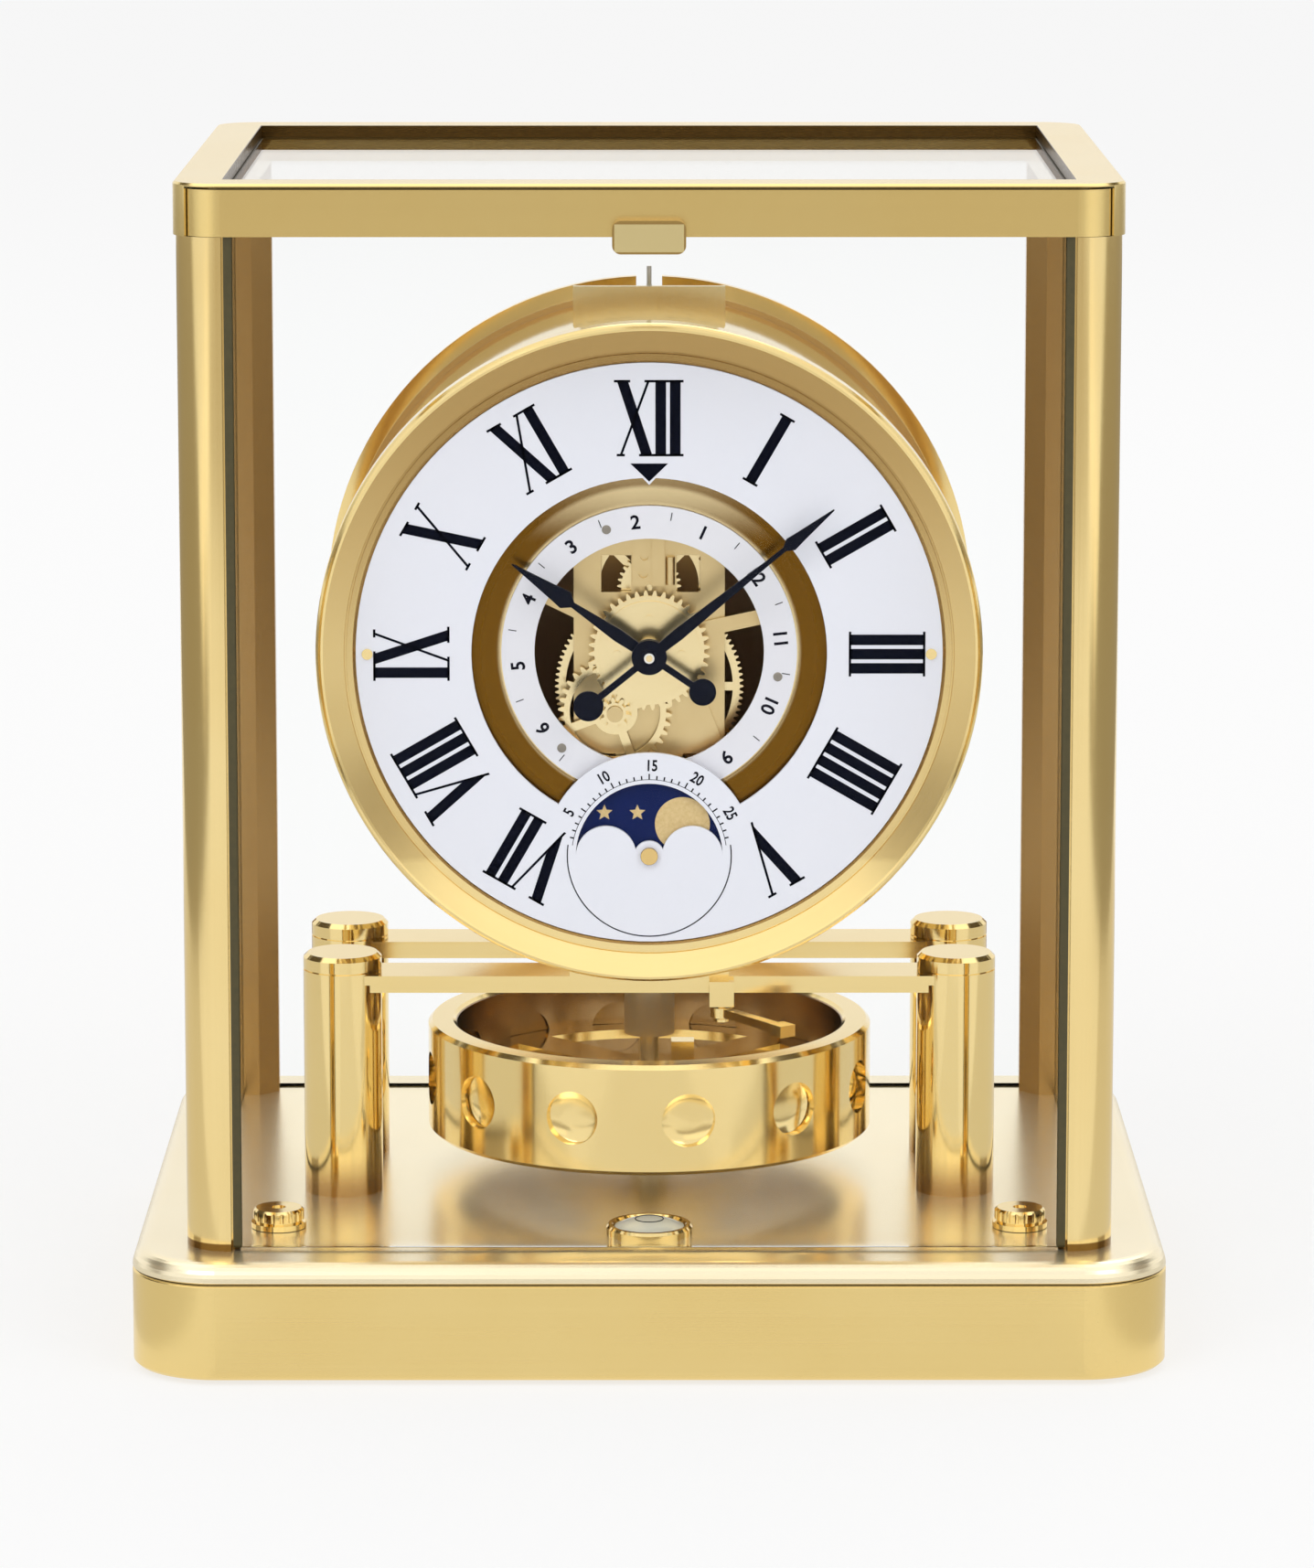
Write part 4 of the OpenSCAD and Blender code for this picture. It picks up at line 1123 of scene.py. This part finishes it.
@dataclass
class Balance:
    """The balance and its suspension.

    Args:
        outer: the distance of the plugs' outer faces from the axis.
        inner: the distance of their inner faces.
        hole_z: the height of the holes in the ring.
        plug_r: the radius of a plug, a little more than the hole's.
        holes: how many holes there are.
        first: the place of the first hole round the ring, in degrees.
        dishes: the width and the depth of each step of the plugs' outer faces.
    """

    outer: float = 40.3 * MM
    inner: float = 37.15 * MM
    hole_z: float = 41.0 * MM
    plug_r: float = 5.08 * MM
    holes: int = 12
    first: float = -80.0
    dishes: tuple[tuple[float, float], ...] = ((0.5 * MM, 0.25 * MM), (1.9 * MM, 0.45 * MM))

    def plugs(self) -> None:
        """Closes the inner ends of the ring's holes with dished plugs, one modelled and the others copied."""
        model = Maker.begin("ring_plug_01")
        bpy.ops.mesh.primitive_cylinder_add(
            vertices=48, radius=self.plug_r, depth=self.outer - self.inner, rotation=(0, math.radians(90), 0),
            location=((self.outer + self.inner) / 2, 0, self.hole_z))
        Maker.pick(lambda p: p.x > self.outer - 0.01 * MM)
        for width, depth in self.dishes:
            bpy.ops.mesh.inset(thickness=width)
            bpy.ops.transform.translate(value=(-depth, 0, 0))
        Maker.end(model, PLUG, "balance", "brass_polished")
        copies = [model]
        for index in range(1, self.holes):
            copies.append(bpy.data.objects.new(f"ring_plug_{index + 1:02d}", model.data.copy()))
            bpy.context.scene.collection.objects.link(copies[-1])
            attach(copies[-1], "balance")
        for index, copy in enumerate(copies):
            copy.data.transform(Matrix.Rotation(math.radians(self.first + index * 360 / self.holes), 4, "Z"))
        LOG.info("the ring's holes are closed")

    def build(self, nodes: dict) -> None:
        """Finishes the balance, the tube and the suspension."""
        self.plugs()
        dress(nodes, ["balance_ring"], RING)
        dress(nodes, ["balance_web"], SPUN)
        dress(nodes, ["suspension_tube", "balance_spindle"], TUBE)
        dress(nodes, ["regulator_index"], GROUND_STEEL)
        dress(nodes, ["head_block"], BLOCK)
        dress(nodes, ["torsion_wire"], GROUND_STEEL)


class Drum:
    """The drum with its cover, bellows and bezel."""

    def build(self, nodes: dict) -> None:
        """Finishes the drum."""
        dress(nodes, ["drum_case"], DRUM)
        dress(nodes, ["bezel"], BEZEL)
        dress(nodes, ["drum_cover"], TURNED)
        dress(nodes, ["month_seat"], SEAT)
        dress(nodes, ["bellows_case", "bellows_head"], BELLOWS)


@dataclass
class Dial:
    """The dial with its numerals, the moon display and the month ring.

    Args:
        face: the level of the dial's front.
        ring_face: the level of the month ring's front.
        disc_face: the level of the moon disc's front.
        outer: the radius of the numerals' outer ends.
        inner: the radius of the numerals' inner ends.
        stem: the width of a bold stroke.
        hair: the width of a thin stroke.
        pitch: the distance between bold strokes.
        skin: the thickness of the ink.
        gold: the thickness of the gold paint.
        moon_z: the height of the moon's axis.
        mark_up: the distance of the triangle from the dial's middle.
        mark_r: its reach before it is flattened.
        mark_flat: its height as a share of an even triangle's.
        scale_r: the radius of the day scale.
        rivet_r: the radius of the circle that the rivets stand on.
        tick_r: the radius of the middle of the month ticks.
        moon_r: the radius of the circle that the moons stand on.
        moon_size: the radius of a moon.
        star_up: the distance of the stars from the line through the moon's axis.
        star_size: the reach of their points.
        roman: the letters of each hour.
    """

    face: float = -40.5 * MM
    ring_face: float = -38.3 * MM
    disc_face: float = -39.2 * MM
    outer: float = 50.9 * MM
    inner: float = 36.8 * MM
    stem: float = 1.95 * MM
    hair: float = 0.44 * MM
    pitch: float = 2.66 * MM
    skin: float = 0.05 * MM
    gold: float = 0.08 * MM
    moon_z: float = 91.0 * MM
    mark_up: float = 34.35 * MM
    mark_r: float = 4.0 * MM
    mark_flat: float = 0.56
    scale_r: float = 14.35 * MM
    rivet_r: float = 24.2 * MM
    tick_r: float = 25.6 * MM
    moon_r: float = 8.4 * MM
    moon_size: float = 5.1 * MM
    star_up: float = 7.9 * MM
    star_size: float = 1.55 * MM
    roman: dict[int, str] = field(default_factory=lambda: {
        1: "I", 2: "II", 3: "III", 4: "IIII", 5: "V", 7: "VII", 8: "VIII", 9: "IX", 10: "X", 11: "XI", 12: "XII"})

    def ink_y(self, face: Optional[float] = None) -> float:
        """The middle level of the ink on a face, plainly the dial's, which it sinks into a little."""
        return (self.face if face is None else face) - self.skin * 0.3

    @staticmethod
    def around(centre: Sequence[float], far: float, angle: float) -> tuple[float, float, float]:
        """The point of a circle round a centre at an angle in degrees, clockwise from the top."""
        turn = math.radians(angle)
        return centre[0] + far * math.sin(turn), centre[1], centre[2] + far * math.cos(turn)

    def letter_width(self, letter: str) -> float:
        """The room that a letter takes along the dial."""
        return {"I": self.pitch, "V": 7.0 * MM, "X": 6.9 * MM}[letter]

    def strokes(self, letter: str, middle: float) -> None:
        """Adds the strokes of a letter to the numeral in edit mode, taller than they end up.

        Args:
            letter: I, V or X.
            middle: the place of the letter's middle, left or right of the numeral's.
        """
        tall = self.outer - self.inner
        over = tall + 4 * MM

        def stroke(shift: float, wide: float, high: float, lean: float = 0.0) -> None:
            """Adds a stroke at a shift from the letter's middle, leaning by some degrees."""
            at = (middle + shift, self.ink_y(), DIAL_Z + (self.outer + self.inner) / 2)
            Maker.bar(at, (wide, self.skin, high), lean)

        if letter == "I":
            stroke(0, self.stem, tall + 2 * MM)
        elif letter == "X":
            spread, slimmer, flatter = 4.6 * MM, 0.98, 1.12
            lean = math.degrees(math.atan2(spread, tall))
            stroke(0, self.stem * slimmer, over, -lean)
            stroke(0, self.hair, over, lean * flatter)
        else:
            bold, thin = math.atan2(3.0 * MM, tall), math.atan2(3.5 * MM, tall)
            bold_at, point_at, thin_at = -0.9 * MM, -0.4 * MM, 1.13 * MM
            stroke(bold_at, self.stem, over, -math.degrees(bold))
            Maker.trim((middle + point_at, 0, DIAL_Z + self.inner), (math.cos(thin), 0, -math.sin(thin)))
            stroke(thin_at, self.hair, over, math.degrees(thin))

    def serifs(self, letters: str, starts: Sequence[float]) -> None:
        """Adds the thin serifs at both ends of a numeral in edit mode.

        Args:
            letters: the letters of the numeral.
            starts: the middles of its letters.
        """
        y = self.ink_y()
        top = DIAL_Z + self.outer - self.hair / 2
        foot = DIAL_Z + self.inner + self.hair / 2
        bars = [m for c, m in zip(letters, starts) if c == "I"]
        if bars:
            past = 1.1 * MM
            wide = bars[-1] - bars[0] + self.stem + past
            for z in (top, foot):
                Maker.bar(((bars[0] + bars[-1]) / 2, y, z), (wide, self.skin, self.hair))
        ends = {"X": ((-2.3, 3.0, top), (-2.55, 1.5, foot), (2.55, 1.5, top), (2.3, 3.0, foot)),
                "V": ((-2.4, 3.2, top), (2.9, 1.7, top))}
        for letter, middle in zip(letters, starts):
            for shift, wide, z in ends.get(letter, ()):
                Maker.bar((middle + shift * MM, y, z), (wide * MM, self.skin, self.hair))

    def numeral(self, hour: int) -> None:
        """Makes the numeral of an hour.

        Args:
            hour: the hour, from 1 to 12.
        """
        letters = self.roman[hour]
        piece = Maker.begin(f"numeral_{hour:02d}")
        room = sum(self.letter_width(c) for c in letters)
        left, starts = -room / 2, []
        for letter in letters:
            starts.append(left + self.letter_width(letter) / 2)
            left += self.letter_width(letter)
            self.strokes(letter, starts[-1])
        Maker.trim((0, 0, DIAL_Z + self.outer), (0, 0, 1))
        Maker.trim((0, 0, DIAL_Z + self.inner), (0, 0, -1))
        self.serifs(letters, starts)
        Maker.turn(30 * hour, (0, 0, DIAL_Z))
        Maker.end(piece, INK, "case", "hand_black")

    def marks(self) -> None:
        """Makes the triangle under twelve, the circle and the day scale round the moon."""
        y = self.ink_y()
        piece = Maker.begin("twelve_mark")
        middle = (0, y, DIAL_Z + self.mark_up)
        Maker.disc(middle, self.mark_r, self.skin, 3)
        Maker.turn(180, middle)
        bpy.ops.transform.resize(value=(1, 1, self.mark_flat), center_override=middle)
        Maker.end(piece, INK, "case", "hand_black")
        moon = (0, y, self.moon_z)
        for name, outer, inner, cut, way in (
                ("moon_circle", 15.3 * MM, 15.02 * MM, 2.1 * MM, 1),
                ("day_scale", self.scale_r + 0.07 * MM, self.scale_r - 0.07 * MM, 2.0 * MM, -1)):
            piece = Maker.begin(name)
            Maker.hoop(moon, outer, inner, self.skin)
            Maker.trim((0, 0, self.moon_z + cut), (0, 0, way))
            if name == "day_scale":
                self.days(moon)
            Maker.end(piece, FINE_INK, "case", "hand_black")

    def days(self, moon: Sequence[float]) -> None:
        """Adds the strokes of the days to the scale in edit mode, each fifth one longer."""
        first, span, days, wide, plain, longer = -82, 164, 30, 0.26 * MM, 0.75 * MM, 1.1 * MM
        for day in range(1, days):
            angle = first + day * span / days
            long = plain if day % 5 else longer
            Maker.bar(self.around(moon, self.scale_r + long / 2, angle), (wide, self.skin, long), angle)

    def digits(self, name: str, words: str, angle: float, far: float, centre: Sequence[float], size: float,
               body: str, narrow: float = 1.0) -> None:
        """Makes a number that stands radially on a ring.

        Args:
            name: the name of the piece.
            words: the digits.
            angle: its place, clockwise from the top, in degrees.
            far: its distance from the ring's centre.
            centre: the centre of the ring, on the level of the ink.
            size: the size of the type.
            body: the body that it rides on.
            narrow: its width as a share of the plain type's.
        """
        piece = Maker.number(name, words, size, self.skin)
        bpy.ops.transform.resize(value=(narrow, 1, 1), center_override=(0, 0, 0))
        bpy.ops.transform.translate(value=(centre[0], centre[1], centre[2] + far))
        Maker.turn(angle, centre)
        Maker.end(piece, FINE_INK, body, "hand_black")

    def dates(self) -> None:
        """Makes the numbers of the day scale and of the months, with the ring's ticks and rivets."""
        day_r, day_size, narrow = 16.9 * MM, 2.9 * MM, 0.8
        month_r, month_size, month_0 = 24.25 * MM, 3.6 * MM, 54.0
        tick_0, tick_wide, tick_long = 9.2, 0.17 * MM, 1.5 * MM
        rivet, rise, rim, dome = 0.85 * MM, 0.16 * MM, 0.12 * MM, 0.06 * MM
        moon = (0, self.ink_y(), self.moon_z)
        for words, angle in (("5", -61), ("10", -30), ("15", 1.5), ("20", 31.5), ("25", 62)):
            self.digits(f"day_{words}", words, angle, day_r, moon, day_size, "case", narrow)
        ring = (0, self.ink_y(self.ring_face), DIAL_Z)
        for month in range(1, 13):
            self.digits(f"month_{month:02d}", str(month), month_0 - 30 * month, month_r, ring, month_size, "months")
        piece = Maker.begin("month_ticks")
        for month in range(12):
            angle = tick_0 + 30 * month
            Maker.bar(self.around(ring, self.tick_r, angle), (tick_wide, self.skin, tick_long), angle)
        Maker.end(piece, FINE_INK, "months", "hand_black")
        piece = Maker.begin("month_rivets")
        for angle in (-19, 101, 222):
            Maker.disc(self.around(ring, self.rivet_r, angle), rivet, rise, 24)
        Maker.pick(lambda p: p.y < ring[1] - rise * 0.45)
        bpy.ops.mesh.inset(thickness=rim)
        bpy.ops.transform.translate(value=(0, -dome, 0))
        Maker.end(piece, RIVET, "months", "steel")

    def star(self, name: str, x: float, z: float) -> None:
        """Makes a gold star with five points on the moon disc.

        Args:
            name: the name of the piece.
            x: its place from the moon's axis, to the right.
            z: its place from the moon's axis, upward.
        """
        centre = (x, self.disc_face, self.moon_z + z)
        piece = Maker.begin(name)
        Maker.disc(centre, self.star_size, self.gold, 10)

        def inner(point: Vector) -> bool:
            """True for every other point round the star."""
            angle = math.degrees(math.atan2(point.x - centre[0], point.z - centre[2])) % 360
            return round(angle / 36) % 2 == 1

        Maker.pick(inner, "VERT")
        share = 0.45
        bpy.ops.transform.resize(value=(share, 1, share), center_override=centre)
        Maker.end(piece, GOLD_PAINT, "moon", "dial_white")

    def moon(self) -> None:
        """Makes the two gold moons and the stars between them."""
        middle = (0, self.disc_face, self.moon_z)
        rim, dome = 0.2 * MM, 0.04 * MM
        for index, angle in enumerate((47, 227)):
            piece = Maker.begin(f"gold_moon_{index + 1}")
            Maker.disc(self.around(middle, self.moon_r, angle), self.moon_size, self.gold, 96)
            Maker.pick(lambda p: p.y < self.disc_face - 0.03 * MM)
            bpy.ops.mesh.inset(thickness=rim)
            bpy.ops.transform.translate(value=(0, -dome, 0))
            Maker.end(piece, GOLD_PAINT, "moon", "dial_white")
            flip = 1 - 2 * index
            for number, x in ((1, -8.3 * MM), (2, -2.2 * MM)):
                self.star(f"moon_star_{2 * index + number}", x * flip, self.star_up * flip)

    def build(self, nodes: dict) -> None:
        """Finishes the dial and adds all that is printed on it."""
        dress(nodes, ["dial_plate"], ENAMEL)
        dress(nodes, ["month_ring"], MONTH_ENAMEL)
        dress(nodes, ["moon_disc"], MOON_DISC)
        dress(nodes, ["dial_screws"], POLISHED)
        for hour in self.roman:
            self.numeral(hour)
        self.marks()
        self.dates()
        self.moon()


class Movement:
    """The hands and the works behind the dial."""

    def build(self, nodes: dict) -> None:
        """Finishes the hands and the works."""
        dress(nodes, ["minute_hand", "hour_hand"], LACQUER)
        dress(nodes, ["hand_nut"], NUT)
        dress(nodes, ["cannon_pinion", "pallet_fork"], GROUND_STEEL)
        wheels = ["centre_wheel", "hour_wheel", "minute_wheel", "third_wheel", "great_wheel", "escape_wheel"]
        dress(nodes, wheels, WHEEL)
        dress(nodes, ["front_plate", "train_cock"], GILT)
        dress(nodes, ["rear_plate", "plate_posts", "month_wheel"], SHADED_GILT)


def main() -> None:
    """Loads the frame, builds each sub-assembly in order and lights the clock."""
    logging.basicConfig(level=logging.INFO, format="%(name)s: %(message)s")
    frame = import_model()
    nodes = frame["nodes"]
    for part in (Base(), Cabinet(), Door(), Bridge(), Balance(), Drum(), Dial(), Movement()):
        part.build(nodes)
    Studio().build()


if __name__ == "__main__":
    main()
